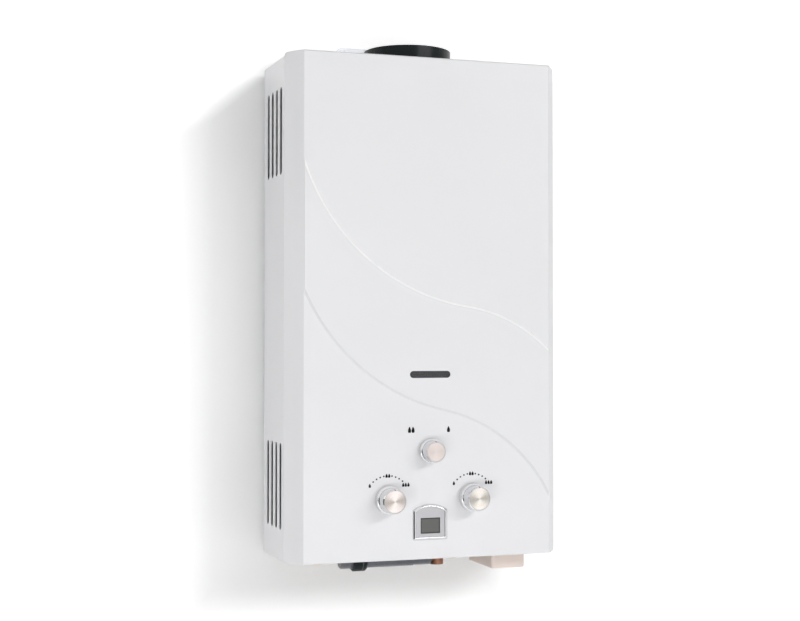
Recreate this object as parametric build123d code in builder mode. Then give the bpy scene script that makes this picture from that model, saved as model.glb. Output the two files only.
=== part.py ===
from build123d import *
import os

# A wall-hung gas water heater that heats water as it flows.
# Millimetres. X runs to the right, Y into the wall and Z up.
# The wall is the plane y = 0, the front faces -Y, and z = 0 is the casing's lower edge.

os.makedirs("parts", exist_ok=True)

FRONT = (0, -1, 0)
BACK = (0, 1, 0)
RIGHT = (1, 0, 0)
LEFT = (-1, 0, 0)
UP = (0, 0, 1)
DOWN = (0, 0, -1)
PAST = 2.0  # how far a cut runs past the face that it opens

# Flue collar, which sets how deep the casing has to be
FLUE_R = 53.2
FLUE_T = 1.2
FLUE_REAR_GAP = 4.8  # wall to the collar
FLUE_FRONT_GAP = 3.5  # collar to the casing's front edge
FLUE_HOLE_GAP = 1.4
FLUE_FLANGE_W = 3.3
FLUE_LENGTH = 39.0
FLUE_LIP_R = 0.5
FLUE_Y = -(FLUE_REAR_GAP + FLUE_R)

# Housing
CASE_W = 340.0
CASE_H = 590.0
WALL_GAP = 18.0  # wall to the casing's rear edge
SHEET = 1.0
CHAMFER_W = 16.7
CHAMFER_D = 24.9
CORNER_R = 3.2  # front panel
CASE_CORNER_R = 2.0
EDGE_R = 2.0
TOP_STEP = 3.0  # the casing stops this far below the front panel's top
SEAM = 0.4  # gap between the front panel and the casing
FLANGE_END = 4.0  # the rear flanges stop this far from the casing's ends
UPSTAND_END = 7.0
UPSTAND_ROOM = 0.5
UNDER_LIP = 2.0  # what is left of the casing's underside at the front
UNDER_EDGE = 20.0  # what is left of it at each side
HALF_W = CASE_W / 2
INSIDE_HALF = HALF_W - SHEET
FLAT_HALF = HALF_W - CHAMFER_W
CASE_FRONT = FLUE_REAR_GAP + 2 * FLUE_R + FLUE_FRONT_GAP
PANEL_REAR = CASE_FRONT + SEAM
DEPTH = PANEL_REAR + CHAMFER_D  # wall to front panel
SIDE_TOP = CASE_H - TOP_STEP

# Raised band on the front panel, between two S curves.
# A point is its share of the band's half width and its height.
BAND_RISE = 1.5
BAND_SLOPE = 2.6  # how far the band's edges draw in over its rise
BAND_INSET = 2.5
BAND_RUN = 8.0  # the curves run on past the flat front by this much
BAND_HALF = FLAT_HALF - BAND_INSET
UPPER_CURVE = ((-1, 461.0), (-0.505, 352.4), (0.312, 297.4), (1, 247.5))
LOWER_CURVE = ((-1, 306.5), (-0.558, 221.9), (0.117, 172.7), (1, 70.5))

# Sight slot in the band, its glass and the frame that holds the glass
SLOT_W = 50.7
SLOT_H = 8.2
SLOT_RISE = 43.3  # above the turn of the lower curve
GLASS_T = 2.0
GLASS_LAP = 4.0
RETAINER_W = 2.0
RETAINER_T = 1.0
SIGHT_ROOM = 1.5
SLOT_Z = LOWER_CURVE[2][1] + SLOT_RISE

# Side louvres
LOUVRE_W = 10.5
LOUVRE_PITCH = 20.0
LOUVRE_COUNT = 4
LOUVRE_START = 16.5  # casing's front edge to the first louvre
LOW_LOUVRES = (36.0, 137.0)
HIGH_LOUVRES = (137.5, 35.0)  # below the casing's top

# Clips between the front panel and the casing
CLIP_H = 24.0
CLIP_T = 2.0
CLIP_L = 12.0
CLIP_GRIP = 4.0
CLIP_END = 180.0

# Back panel
BACK_INSET = 10.0
BACK_END = 2.0
BACK_FLANGE = 40.0
TAB_HALF = 73.5
TAB_RISE = 33.0
TAB_DROP = 14.0
TAB_CORNER = 6.0
SCREW_HOLE_R = 3.5
SCREW_SIDE = 13.5
SCREW_BELOW_TOP = 11.0
SCREW_ABOVE_END = 7.0
BACK_HALF = HALF_W - BACK_INSET
TAB_TOP = CASE_H + TAB_RISE

# Controls
MAIN_X = 52.0
MAIN_Z = 71.0
SEASON_RISE = 55.5
SPINDLE_R = 4.0
SPINDLE_FLAT = 2.6  # axis to the flat
SPINDLE_ROOM = 2.0
SPINDLE_SINK = 6.0
MAIN_SPINDLE_IN = 28.0
SEASON_SPINDLE_IN = 20.0
RUN = 0.05  # radial clearance of turning parts
MAIN_CAP_R = 14.2
MAIN_FLARE = 2.3
MAIN_REACH = 27.0
SEASON_CAP_R = 12.5
SEASON_FLARE = 2.1
SEASON_REACH = 21.5
KNOB_GAP = 0.8
SKIRT_SHARE = 0.36  # how much of a knob's length its wider skirt takes
SHOULDER_H = 0.9
CAP_DRAFT = 0.5
CAP_BEVEL_W = 1.0
CAP_BEVEL_H = 1.8
CAP_LIP = 0.4
KNOB_ROUND = 0.7
DISC_T = 1.0
DISC_BEVEL = 0.3
NOTCH_W = 1.8
NOTCH_L = 5.0
NOTCH_DEEP = 1.6
BOSS_W = 8.0
BOSS_L = 14.0
BOSS_R = SPINDLE_R + BOSS_W
SEASON_Z = MAIN_Z + SEASON_RISE

# Display
RIM_HALF = 21.3
RIM_BOTTOM = 22.5
RIM_SIDE_H = 35.0
RIM_ARCH = 7.0
RIM_CORNER = 1.8
RIM_W = 3.6
RIM_RISE = 2.6
PLATE_RISE = 1.6
LENS_HALF = 12.2
LENS_H = 18.4
LENS_DROP = 7.5  # rim's lower edge to the lens
LENS_RISE = 1.2
LENS_LEDGE = 1.2
BOARD_INSET = 1.5
BOARD_WALL = 4.0
BOARD_T = 15.0
BOARD_POCKET = 5.0
GLASS_CELL_T = 3.0
RIM_SIDE_TOP = RIM_BOTTOM + RIM_SIDE_H
LENS_Z = (RIM_BOTTOM + LENS_DROP, RIM_BOTTOM + LENS_DROP + LENS_H)

# Valve blocks: water on the right, gas on the left, the micro switch in the space between
VALVE_HALF_H = 25.0
VALVE_FRONT_GAP = 36.0
VALVE_REAR = -26.0
VALVE_EDGE_R = 6.0
WATER_W = 40.0
WATER_EDGE = 4.0  # water block's left side to its control
GAS_W = 100.0
VALVE_SPACE = 14.0
CHAMBER_R = 31.0
CHAMBER_BORE = 22.0
CHAMBER_NECK = 8.5
CHAMBER_DEEP = 5.0
COVER_T = 12.0
COVER_DEEP = 7.0
DIAPHRAGM_T = 1.5
VALVE_SCREWS = 6
VALVE_SCREW_R = 2.0
VALVE_SCREW_L = 18.0
SCREW_HEAD_R = 3.6
SCREW_HEAD_H = 3.0
PASSAGE_R = 5.0
VALVE_Y = (-(DEPTH - VALVE_FRONT_GAP), VALVE_REAR)
VALVE_Z = (MAIN_Z - VALVE_HALF_H, MAIN_Z + VALVE_HALF_H)
BOSS_FRONT = VALVE_Y[0] - BOSS_L
WATER_X = (MAIN_X - WATER_EDGE, MAIN_X - WATER_EDGE + WATER_W)
BODY_FACE_X = WATER_X[0] - CHAMBER_NECK
COVER_X = (BODY_FACE_X - DIAPHRAGM_T - COVER_T, BODY_FACE_X - DIAPHRAGM_T)
GAS_X = (COVER_X[0] - VALVE_SPACE - GAS_W, COVER_X[0] - VALVE_SPACE)
SCREW_CIRCLE = (CHAMBER_BORE + CHAMBER_R) / 2

# Flow rod, its gas seat and spring
ROD_IN = 32.0  # valve's front to the rod
ROD_R = 2.5
ROD_PLATE_GAP = 2.0
ROD_PLATE_T = 2.0
ROD_COLLAR_R = 6.0
ROD_COLLAR_T = 3.0
ROD_COLLAR_GAP = 3.0  # collar to the cover
SEAT_IN = 45.0  # gas block's right side to the seat
SEAT_T = 4.0
SEAT_HOLE_R = 8.0
SEAT_DISC_R = 12.0
SEAT_DISC_T = 4.0
GAS_CAVITY_R = 15.0
GAS_CAVITY_L = 33.0
GAS_OUTLET_R = 11.0
GAS_OUTLET_WALL = 8.0
GAS_OUTLET_IN = 16.0
SPRING_R = 6.0
SPRING_WIRE_R = 0.6
SPRING_TURNS = 6
SOLENOID_R = 16.0
SOLENOID_L = 24.0
SOLENOID_TIP_R = 9.0
SOLENOID_TIP_L = 4.0
SEASON_BOSS_R = 14.0
SEASON_BOSS_L = 54.0
SEASON_BLOCK_HALF = 12.0
SEASON_BLOCK_D = 22.0
SEASON_POST_HALF = 9.0
ROD_Y = VALVE_Y[0] + ROD_IN
SEAT_X = GAS_X[1] - SEAT_IN
GAS_OUTLET = (GAS_X[1] - GAS_OUTLET_IN, VALVE_Y[0] + SEASON_BLOCK_D / 2)

# Micro switch and its lever
SWITCH_W = 10.5
SWITCH_HALF_D = 8.0
SWITCH_H = 15.0
SWITCH_GAP = 0.5  # switch to the valve cover
SWITCH_RISE = 2.0
LEVER_IN = 6.1  # switch's right side to the lever
LEVER_RISE = 2.5
LEVER_LAP = 3.0  # lever's tip above the rod's axis
LEVER_T = 0.8
LEVER_BARREL_R = 1.8
LEVER_PIN_R = 0.8
LEVER_HALF_W = 3.4
LEVER_ROOM = 0.6
LEVER_SWING_ROOM = 3.0

# Connections, all half-inch pipe thread
THREAD_R = 10.48
THREAD_BOTTOM = -14.0
THREAD_L = 16.0
PORT_NUT_H = 10.0
PORT_NUT_ACROSS = 26.0
PORT_NECK_R = 9.0
PORT_NECK_L = 8.0
PORT_BORE_R = 6.5
PORT_Y = -40.0
GAS_PORT_IN = 7.0
COLD_PORT_OUT = 10.0
HOT_PORT_X = -110.0
GAS_PORT_X = -MAIN_X + GAS_PORT_IN
COLD_PORT_X = MAIN_X + COLD_PORT_OUT
PORT_NUT_TOP = THREAD_BOTTOM + THREAD_L + PORT_NUT_H

# Drain line under the casing
DRAIN_OUT = 30.0  # in front of the connections
DRAIN_Z = -6.2
DRAIN_R = 11.0
DRAIN_STEP = 0.6
DRAIN_PORT_IN = 2.0  # left of the cold inlet
DRAIN_L = 114.0
DRAIN_THIN_L = 22.0
DRAIN_END_BEVEL = 1.5
NUT_IN = 14.4  # bar's left end to the nut
NUT_L = 11.4
NUT_WALL = 3.6
NUT_GROOVES = 18
NUT_GROOVE_R = 1.2
NUT_BEVEL = 2.0
FLANGE_T = 1.2
STOP_T = 1.0
RING_L = 5.6
ELBOW_R = 8.0
ELBOW_WALL = 1.0
ELBOW_BEND = 9.0
ELBOW_SEAT = 10.0
ELBOW_RUN = 0.4  # straight run between the bar and the first bend
ELBOW_RISE = 8.2
ELBOW_STRAIGHT = 8.6
SUMP_W = 0.6
SUMP_DROP = 10.3
DRAIN_Y = PORT_Y - DRAIN_OUT
DRAIN_PORT_X = COLD_PORT_X - DRAIN_PORT_IN
ELBOW_X = DRAIN_PORT_X - 2 * ELBOW_BEND - ELBOW_STRAIGHT
DRAIN_RIGHT = ELBOW_X - ELBOW_BEND - ELBOW_RUN
DRAIN_LEFT = DRAIN_RIGHT - DRAIN_L
NUT_X = (DRAIN_LEFT + NUT_IN, DRAIN_LEFT + NUT_IN + NUT_L)
NUT_R = DRAIN_R + NUT_WALL
RING_X = (NUT_X[1] + FLANGE_T, NUT_X[1] + FLANGE_T + RING_L)

# Battery box, sized by its two cells
CELL_R = 16.6
CELL_H = 59.5
CELL_TIP_R = 4.5
CELL_TIP = 1.5
CELL_BEVEL = 1.0
CELL_ROOM = 3.4
CELL_END_ROOM = 3.0
CELL_MID_GAP = 2.4
CELL_RAISE = 4.0
CONTACT_ROOM = 9.0
CONTACT_T = 0.8
BOX_WALL = 1.6
BOX_CORNER = 4.0
BOX_GAP = 1.6  # water block to the box
BOX_FRONT_GAP = 0.7
BOX_DROP = 16.6
LID_T = 3.0
LID_EDGE_R = 1.4
HINGE_OUT = 3.0
HINGE_R = 2.4
HINGE_PIN_R = 1.2
HINGE_GAP = 0.4
LUG_OUTER = 17.0
LUG_INNER = 12.0
LUG_ROOT = 1.6
BOX_W = 2 * (CELL_R + CELL_ROOM + BOX_WALL)
BOX_D = 4 * CELL_R + CELL_MID_GAP + 2 * (CELL_END_ROOM + BOX_WALL)
BOX_MID_X = WATER_X[1] + BOX_GAP + BOX_W / 2
BOX_X = (BOX_MID_X - BOX_W / 2, BOX_MID_X + BOX_W / 2)
BOX_Y = (-CASE_FRONT + UNDER_LIP + BOX_FRONT_GAP, -CASE_FRONT + UNDER_LIP + BOX_FRONT_GAP + BOX_D)
LID_TOP = -BOX_DROP
CELL_Z = (LID_TOP + CELL_RAISE, LID_TOP + CELL_RAISE + CELL_H)
BOX_TOP = CELL_Z[1] + CONTACT_ROOM
HINGE_Y = BOX_Y[1] + HINGE_OUT

# Igniter box, above the valves
IGNITER_W = 66.0
IGNITER_D = 35.0
IGNITER_H = 44.0
IGNITER_GAP = 5.0
IGNITER_EDGE = 6.0  # its right side to the spark lead
IGNITER_CORNER = 3.0
BOOT_R = 4.0
BOOT_L = 4.0
BOOT_STEP = 20.0
SPARK_BOOT_DROP = 20.0
SENSE_BOOT_DROP = 7.0
ELECTRODE_X = 40.0
IGNITER_X = (-ELECTRODE_X + IGNITER_EDGE - IGNITER_W, -ELECTRODE_X + IGNITER_EDGE)
IGNITER_Y = (-SHEET - IGNITER_D, -SHEET)
IGNITER_Z = (VALVE_Z[1] + IGNITER_GAP, VALVE_Z[1] + IGNITER_GAP + IGNITER_H)

# Burner, above the igniter box
CHAMBER_SIDE_ROOM = 58.0
CHAMBER_FRONT_GAP = 28.0
CHAMBER_REAR = -18.0
CHAMBER_HALF = HALF_W - CHAMBER_SIDE_ROOM
CHAMBER_FRONT = -(DEPTH - CHAMBER_FRONT_GAP)
CHAMBER_MID_Y = (CHAMBER_FRONT + CHAMBER_REAR) / 2
TRAY_GAP = 7.0
TRAY_H = 72.0
TRAY_WINDOW = 26.0  # height of the opening that the jets reach through
TRAY_FRONT_H = 26.0
TRAY_LEG = 15.0
TRAY_RAIL_H = 4.0
TRAY_RAIL_W = 6.0
TRAY_RAIL_IN = 18.0
BAR_COUNT = 12
BAR_SIDE_ROOM = 24.0
BAR_END_ROOM = 8.0
BAR_W = 10.0
BAR_H = 44.0
BAR_MOUTH_R = 4.2
BAR_MOUTH_L = 29.0
BAR_SLOTS = 8
BAR_SLOT_PITCH = 9.0
BAR_SLOT_W = 2.4
BAR_SLOT_WALL = 1.5
BAR_SLOT_DEEP = 6.0
RAIL_SIDE_ROOM = 8.0
RAIL_D = 14.0
RAIL_H = 16.0
RAIL_RISE = 5.0
RAIL_WALL = 2.0
JET_R = 2.5
JET_IN = 4.0
JET_GAP = 0.6
JET_NUT_W = 1.2
JET_NUT_L = 2.0
JET_BORE = 0.6
ELECTRODE_OUT = 5.0
INSULATOR_R = 3.5
INSULATOR_H = 22.0
INSULATOR_RISE = 11.0  # above the gas rail
INSULATOR_COLLAR_W = 1.3
INSULATOR_COLLAR_H = 5.0
INSULATOR_COLLAR_RISE = 9.0
WIRE_R = 0.9
WIRE_IN = 4.0
WIRE_OUT = 6.0
WIRE_BEND = 3.0
WIRE_LIFT = 2.0
SPARK_REACH = 14.0
SENSE_REACH = 28.0
TRAY_BOTTOM = IGNITER_Z[1] + TRAY_GAP
CHAMBER_BOTTOM = TRAY_BOTTOM + TRAY_H
BAR_Y = (CHAMBER_FRONT + BAR_END_ROOM, CHAMBER_REAR - BAR_END_ROOM)
BAR_Z = (TRAY_BOTTOM + TRAY_RAIL_H, TRAY_BOTTOM + TRAY_RAIL_H + BAR_H)
BAR_PITCH = 2 * (CHAMBER_HALF - BAR_SIDE_ROOM) / (BAR_COUNT - 1)
BAR_XS = [(i - (BAR_COUNT - 1) / 2) * BAR_PITCH for i in range(BAR_COUNT)]
RAIL_HALF = CHAMBER_HALF - RAIL_SIDE_ROOM
RAIL_FRONT = CHAMBER_FRONT - RAIL_D
RAIL_Z = (TRAY_BOTTOM + RAIL_RISE, TRAY_BOTTOM + RAIL_RISE + RAIL_H)
JET_Z = (RAIL_Z[0] + RAIL_Z[1]) / 2
ELECTRODE_Y = CHAMBER_FRONT - ELECTRODE_OUT
INSULATOR_Z = (RAIL_Z[1] + INSULATOR_RISE, RAIL_Z[1] + INSULATOR_RISE + INSULATOR_H)

# Heat exchanger, above the burner
TUBE_R = 7.0
TUBE_WALL = 0.8
TUBE_RISE = 128.0
TUBE_ROWS = 5
TUBE_EDGE = 11.0  # chamber wall to the first row
TUBE_OUT = 10.0
TUBE_BEND_OUT = 3.0
TUBE_FREE = 0.05
FIN_COUNT = 27
FIN_T = 0.6
FIN_SIDE_ROOM = 8.0
FIN_INSET = 4.0
FIN_BELOW = 18.0
FIN_ABOVE = 28.0
SHELL_ABOVE = 38.0
UNION_R = 11.0
UNION_L = 6.0
UNION_OUT = 6.0
PIPE_BEND = 14.0
PIPE_STRAIGHT = 2.0
COLD_PIPE_IN = 14.0
COLD_PIPE_BACK = 12.0
HOT_DROP = 36.0
TUBE_BORE = TUBE_R - TUBE_WALL
TUBE_Z = CHAMBER_BOTTOM + TUBE_RISE
TUBE_END = CHAMBER_HALF + TUBE_OUT
TUBE_PITCH = (CHAMBER_REAR - CHAMBER_FRONT - 2 * TUBE_EDGE) / (TUBE_ROWS - 1)
TUBE_YS = [CHAMBER_FRONT + TUBE_EDGE + i * TUBE_PITCH for i in range(TUBE_ROWS)]
FIN_PITCH = 2 * (CHAMBER_HALF - FIN_SIDE_ROOM) / (FIN_COUNT - 1)
RISER_X = TUBE_END + PIPE_BEND + PIPE_STRAIGHT

# Hood between the heat exchanger and the flue collar
HOOD_SIDE = 6.0
HOOD_LIP = 5.0
HOOD_SHOULDER_H = 50.0
HOOD_NECK_H = 11.0
HOOD_NECK_ROOM = 5.5
HOOD_DROP = 16.0
DRAUGHT_SLOT_HALF = 60.0
DRAUGHT_SLOT_H = 12.0
DRAUGHT_SLOT_DROP = 48.0
HOOD_HALF = CHAMBER_HALF + HOOD_SIDE
HOOD_FRONT = CHAMBER_FRONT - HOOD_LIP
HOOD_BOTTOM = TUBE_Z + SHELL_ABOVE
HOOD_SHOULDER = HOOD_BOTTOM + HOOD_SHOULDER_H
HOOD_TOP = SIDE_TOP - HOOD_DROP
HOOD_NECK = HOOD_TOP - HOOD_NECK_H
HOOD_NECK_HALF = FLUE_R + FLUE_FLANGE_W + HOOD_NECK_ROOM

# Brackets, sensors and leads
BRACKET_T = 1.5
BRACKET_UP = 18.0
PORT_EDGE = 18.0
SADDLE_X = (-16.0, -6.0)
SADDLE_LAP = 5.0
SADDLE_H = 10.0
SENSOR_R = 8.0
SENSOR_L = 7.0
SENSOR_RIM = 1.0
SENSOR_RIM_T = 1.2
CUTOUT_IN = 32.0
CUTOUT_DROP = 52.0
DRAUGHT_IN = 34.0
DRAUGHT_RISE = 34.0
TERMINAL = 4.0  # from a sensor's middle to its lead
TERMINAL_DROP = 3.0
LEAD_R = 1.6
LEAD_BEND = 5.0
LEAD_NEAR_GAP = 9.0
LEAD_FAR_GAP = 5.0
LEAD_OVER_RAIL = 3.0
LEAD_UNDER_RAIL = 5.0
LEAD_SIDE = 18.0


def slab(x, y, z, mode=Mode.ADD):
    """A box given by its low and high value along each axis."""
    with Locations(((x[0] + x[1]) / 2, (y[0] + y[1]) / 2, (z[0] + z[1]) / 2)):
        Box(abs(x[1] - x[0]), abs(y[1] - y[0]), abs(z[1] - z[0]), mode=mode)


def rod(radius, start, direction, length, mode=Mode.ADD):
    """A cylinder that starts at a point and runs along a direction."""
    with Locations(Plane(origin=start, z_dir=direction)):
        Cylinder(radius, length, align=(Align.CENTER, Align.CENTER, Align.MIN), mode=mode)


def bore(radius, start, direction, length):
    """A round hole that starts at a point and runs along a direction."""
    rod(radius, start, direction, length, mode=Mode.SUBTRACT)


def both(low, high):
    """The right-hand span and its mirror on the left."""
    return ((low, high), (-high, -low))


def around(middle, half):
    """A span about its middle."""
    return (middle - half, middle + half)


def save(part, name):
    part.label = name
    export_step(part, f"parts/{name}.step")


def pipe(points, outer, inner, bend):
    """A tube, or a solid lead when inner is 0, along straight runs and bends."""
    with BuildPart() as run:
        with BuildLine() as route:
            FilletPolyline(*points, radius=bend)
        with BuildSketch(Plane(origin=points[0], z_dir=route.wires()[0] % 0)):
            Circle(outer)
            if inner:
                Circle(inner, mode=Mode.SUBTRACT)
        sweep(path=route.wires()[0])
    return run.part


# Back panel: a plate with side flanges, a hanger tab on top and a fixing tab below
with BuildPart() as back_panel:
    slab((-BACK_HALF, BACK_HALF), (-SHEET, 0), (BACK_END, SIDE_TOP - BACK_END))
    slab((-TAB_HALF, TAB_HALF), (-SHEET, 0), (-TAB_DROP, TAB_TOP))
    for side in both(BACK_HALF - SHEET, BACK_HALF):
        slab(side, (-BACK_FLANGE, 0), (2 * BACK_END, SIDE_TOP - 2 * BACK_END))
    outer_edges = back_panel.edges().filter_by(Axis.Y).filter_by(lambda e: not 0 < e.center().Z < CASE_H)
    fillet(outer_edges, TAB_CORNER)
    for x in (-TAB_HALF + SCREW_SIDE, TAB_HALF - SCREW_SIDE):
        for z in (TAB_TOP - SCREW_BELOW_TOP, -TAB_DROP + SCREW_ABOVE_END):
            bore(SCREW_HOLE_R, (x, PAST, z), FRONT, SHEET + 2 * PAST)
save(back_panel.part, "back_panel")

# Casing: sides, top and lower edge, open to the front and the rear
louvres = []
for low, high in (LOW_LOUVRES, (SIDE_TOP - HIGH_LOUVRES[0], SIDE_TOP - HIGH_LOUVRES[1])):
    for i in range(LOUVRE_COUNT):
        louvres.append((-CASE_FRONT + LOUVRE_START + i * LOUVRE_PITCH, (low + high) / 2, high - low))
with BuildPart() as casing:
    with BuildSketch(Plane.XZ.offset(WALL_GAP)):
        with Locations((0, SIDE_TOP / 2)):
            RectangleRounded(CASE_W, SIDE_TOP, CASE_CORNER_R)
            RectangleRounded(
                CASE_W - 2 * SHEET,
                SIDE_TOP - 2 * SHEET,
                CASE_CORNER_R / 2,
                mode=Mode.SUBTRACT,
            )
    extrude(amount=CASE_FRONT - WALL_GAP)
    for side in both(BACK_HALF, INSIDE_HALF):
        slab(side, (-WALL_GAP - SHEET, -WALL_GAP), (FLANGE_END, SIDE_TOP - FLANGE_END))
    # upstand that closes the step between the casing's top and the front panel's top
    slab(
        (-HALF_W + UPSTAND_END, HALF_W - UPSTAND_END),
        (-CASE_FRONT, -CASE_FRONT + SHEET),
        (SIDE_TOP - SHEET, CASE_H - SHEET - UPSTAND_ROOM),
    )
    bore(FLUE_R + FLUE_HOLE_GAP, (0, FLUE_Y, SIDE_TOP - SHEET - PAST), UP, SHEET + 2 * PAST)
    # pipes and the battery box pass through the underside
    slab(
        (-HALF_W + UNDER_EDGE, HALF_W - UNDER_EDGE),
        (-CASE_FRONT + UNDER_LIP, 0),
        (-PAST, SHEET + PAST),
        mode=Mode.SUBTRACT,
    )
    with BuildSketch(Plane.YZ.offset(-HALF_W - PAST)):
        for y, z, height in louvres:
            with Locations((y, z)):
                SlotOverall(height, LOUVRE_W, rotation=90)
    extrude(amount=CASE_W + 2 * PAST, mode=Mode.SUBTRACT)
save(casing.part, "casing")


def panel_section(rise, inset):
    """The front panel's outline seen from above: its chamfers carried on by rise, its sides drawn in."""
    half = HALF_W - inset
    flat = FLAT_HALF - inset - rise * CHAMFER_W / CHAMFER_D
    with BuildSketch(Plane.XY) as section:
        with BuildLine():
            Polyline(
                (-half, -PANEL_REAR),
                (-flat, -DEPTH - rise),
                (flat, -DEPTH - rise),
                (half, -PANEL_REAR),
                close=True,
            )
        make_face()
    return section.sketch


def beside(arc, share, distance):
    """A point at a share of an arc's length, moved to the arc's right by a distance."""
    along = arc % share
    return arc @ share + Vector(along.Y, -along.X) * distance


def band_face(depth, inset):
    """The raised band's outline at a distance from the wall, with both curves moved in by inset."""
    ends = []
    with BuildSketch(Plane.XZ.offset(depth)) as band:
        with BuildLine():
            for curve, shift in ((UPPER_CURVE, inset), (LOWER_CURVE, -inset)):
                start, belly, turn, end = [(BAND_HALF * share, height) for share, height in curve]
                fall = ThreePointArc(start, belly, turn, mode=Mode.PRIVATE)
                level = TangentArc(turn, end, tangent=fall % 1, mode=Mode.PRIVATE)
                first = ThreePointArc(*[beside(fall, share, shift) for share in (0, 0.5, 1)])
                second = TangentArc(first @ 1, beside(level, 1, shift), tangent=first % 1)
                ends.append(Line(first @ 0 - first % 0 * BAND_RUN, first @ 0) @ 0)
                ends.append(Line(second @ 1, second @ 1 + second % 1 * BAND_RUN) @ 1)
            Line(ends[0], ends[2])
            Line(ends[1], ends[3])
        make_face()
    return band.sketch


# Raised band: the panel's own section carried forward between the two curves
with BuildPart() as band:
    band_foot = band_face(DEPTH - SHEET / 2, -BAND_SLOPE / BAND_RISE * SHEET / 2)
    band_front = band_face(DEPTH + BAND_RISE, BAND_SLOPE)
    loft([band_foot.face(), band_front.face()], ruled=True)
    extrude(panel_section(BAND_RISE, 0), amount=CASE_H, mode=Mode.INTERSECT)

# It is pressed from behind, so its inside is hollow too
with BuildPart() as band_hollow:
    extrude(panel_section(BAND_RISE - SHEET, 1.5 * SHEET), amount=CASE_H)
    extrude(
        band_face(DEPTH - SHEET - PAST, BAND_SLOPE + SHEET / 2),
        amount=BAND_RISE + 2 * PAST,
        mode=Mode.INTERSECT,
    )

# Front panel: a shallow tray with chamfered sides and a pressed band
with BuildPart() as front_panel:
    extrude(panel_section(0, 0), amount=CASE_H)
    with BuildSketch(Plane.XZ):
        with Locations((0, CASE_H / 2)):
            RectangleRounded(CASE_W, CASE_H, CORNER_R)
    extrude(amount=DEPTH + PAST, mode=Mode.INTERSECT)
    fillet(front_panel.faces().sort_by(Axis.Y)[0].edges(), EDGE_R)
    offset(amount=-SHEET, openings=front_panel.faces().sort_by(Axis.Y)[-1])
    add(band.part)
    add(band_hollow.part, mode=Mode.SUBTRACT)
    with BuildSketch(Plane.XZ.offset(DEPTH - SHEET - PAST)):
        with Locations((0, SLOT_Z)):
            SlotOverall(SLOT_W, SLOT_H)
        with Locations((-MAIN_X, MAIN_Z), (MAIN_X, MAIN_Z), (0, SEASON_Z)):
            Circle(SPINDLE_R + SPINDLE_ROOM)
        with Locations((0, (LENS_Z[0] + LENS_Z[1]) / 2)):
            Rectangle(2 * (LENS_HALF - LENS_LEDGE), LENS_H - 2 * LENS_LEDGE)
    extrude(amount=SHEET + BAND_RISE + 2 * PAST, mode=Mode.SUBTRACT)
save(front_panel.part, "front_panel")

# Clips that hold the front panel's edge to the casing
with BuildPart() as panel_clips:
    for z in (CLIP_END, CASE_H / 2, CASE_H - CLIP_END):
        for side in both(INSIDE_HALF - CLIP_T, INSIDE_HALF):
            slab(side, (-CASE_FRONT + CLIP_L, -CASE_FRONT), around(z, CLIP_H / 2))
        for side in both(INSIDE_HALF - 1.5 * CLIP_T, INSIDE_HALF - 0.6 * CLIP_T):
            slab(side, (-CASE_FRONT + CLIP_GRIP, -PANEL_REAR), around(z, CLIP_H / 2))
save(panel_clips.part, "panel_clips")

# Glass and its retainer behind the sight slot
GLASS_Y = (-(DEPTH + BAND_RISE - SHEET), -(DEPTH + BAND_RISE - SHEET) + GLASS_T)
GLASS_X = around(0, SLOT_W / 2 + GLASS_LAP)
GLASS_Z = around(SLOT_Z, SLOT_H / 2 + GLASS_LAP)
with BuildPart() as sight_glass:
    slab(GLASS_X, GLASS_Y, GLASS_Z)
save(sight_glass.part, "sight_glass")

with BuildPart() as glass_retainer:
    slab(
        around(0, SLOT_W / 2 + GLASS_LAP + RETAINER_W),
        (GLASS_Y[0], GLASS_Y[1] + RETAINER_T),
        around(SLOT_Z, SLOT_H / 2 + GLASS_LAP + RETAINER_W),
    )
    slab(GLASS_X, GLASS_Y, GLASS_Z, mode=Mode.SUBTRACT)
    slab(
        around(0, SLOT_W / 2 + SIGHT_ROOM),
        (GLASS_Y[0], GLASS_Y[1] + RETAINER_T + PAST),
        around(SLOT_Z, SLOT_H / 2 + SIGHT_ROOM),
        mode=Mode.SUBTRACT,
    )
save(glass_retainer.part, "glass_retainer")


def rim_face(shrink):
    """The display's outline, straight sides under an arched top, drawn in by shrink."""
    with BuildSketch(Plane.XZ.offset(DEPTH)) as outline:
        with BuildLine():
            arch = ThreePointArc(
                (-RIM_HALF, RIM_SIDE_TOP),
                (0, RIM_SIDE_TOP + RIM_ARCH),
                (RIM_HALF, RIM_SIDE_TOP),
            )
            Polyline(arch @ 1, (RIM_HALF, RIM_BOTTOM), (-RIM_HALF, RIM_BOTTOM), arch @ 0)
        make_face()
        fillet(outline.vertices(), RIM_CORNER)
        if shrink:
            offset(amount=-shrink, mode=Mode.REPLACE)
    return outline.sketch


# Display: a raised rim, a plate inside it, a lens and the board behind the panel
with BuildPart() as display_rim:
    extrude(rim_face(0), amount=RIM_RISE)
    extrude(rim_face(RIM_W), amount=RIM_RISE, mode=Mode.SUBTRACT)
    fillet(display_rim.faces().sort_by(Axis.Y)[0].edges(), RIM_W * 0.4)
save(display_rim.part, "display_rim")

with BuildPart() as display_plate:
    extrude(rim_face(RIM_W), amount=PLATE_RISE)
    slab((-LENS_HALF, LENS_HALF), (-DEPTH - PLATE_RISE, -DEPTH), LENS_Z, mode=Mode.SUBTRACT)
save(display_plate.part, "display_plate")

with BuildPart() as display_lens:
    slab((-LENS_HALF, LENS_HALF), (-DEPTH - LENS_RISE, -DEPTH), LENS_Z)
save(display_lens.part, "display_lens")

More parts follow.
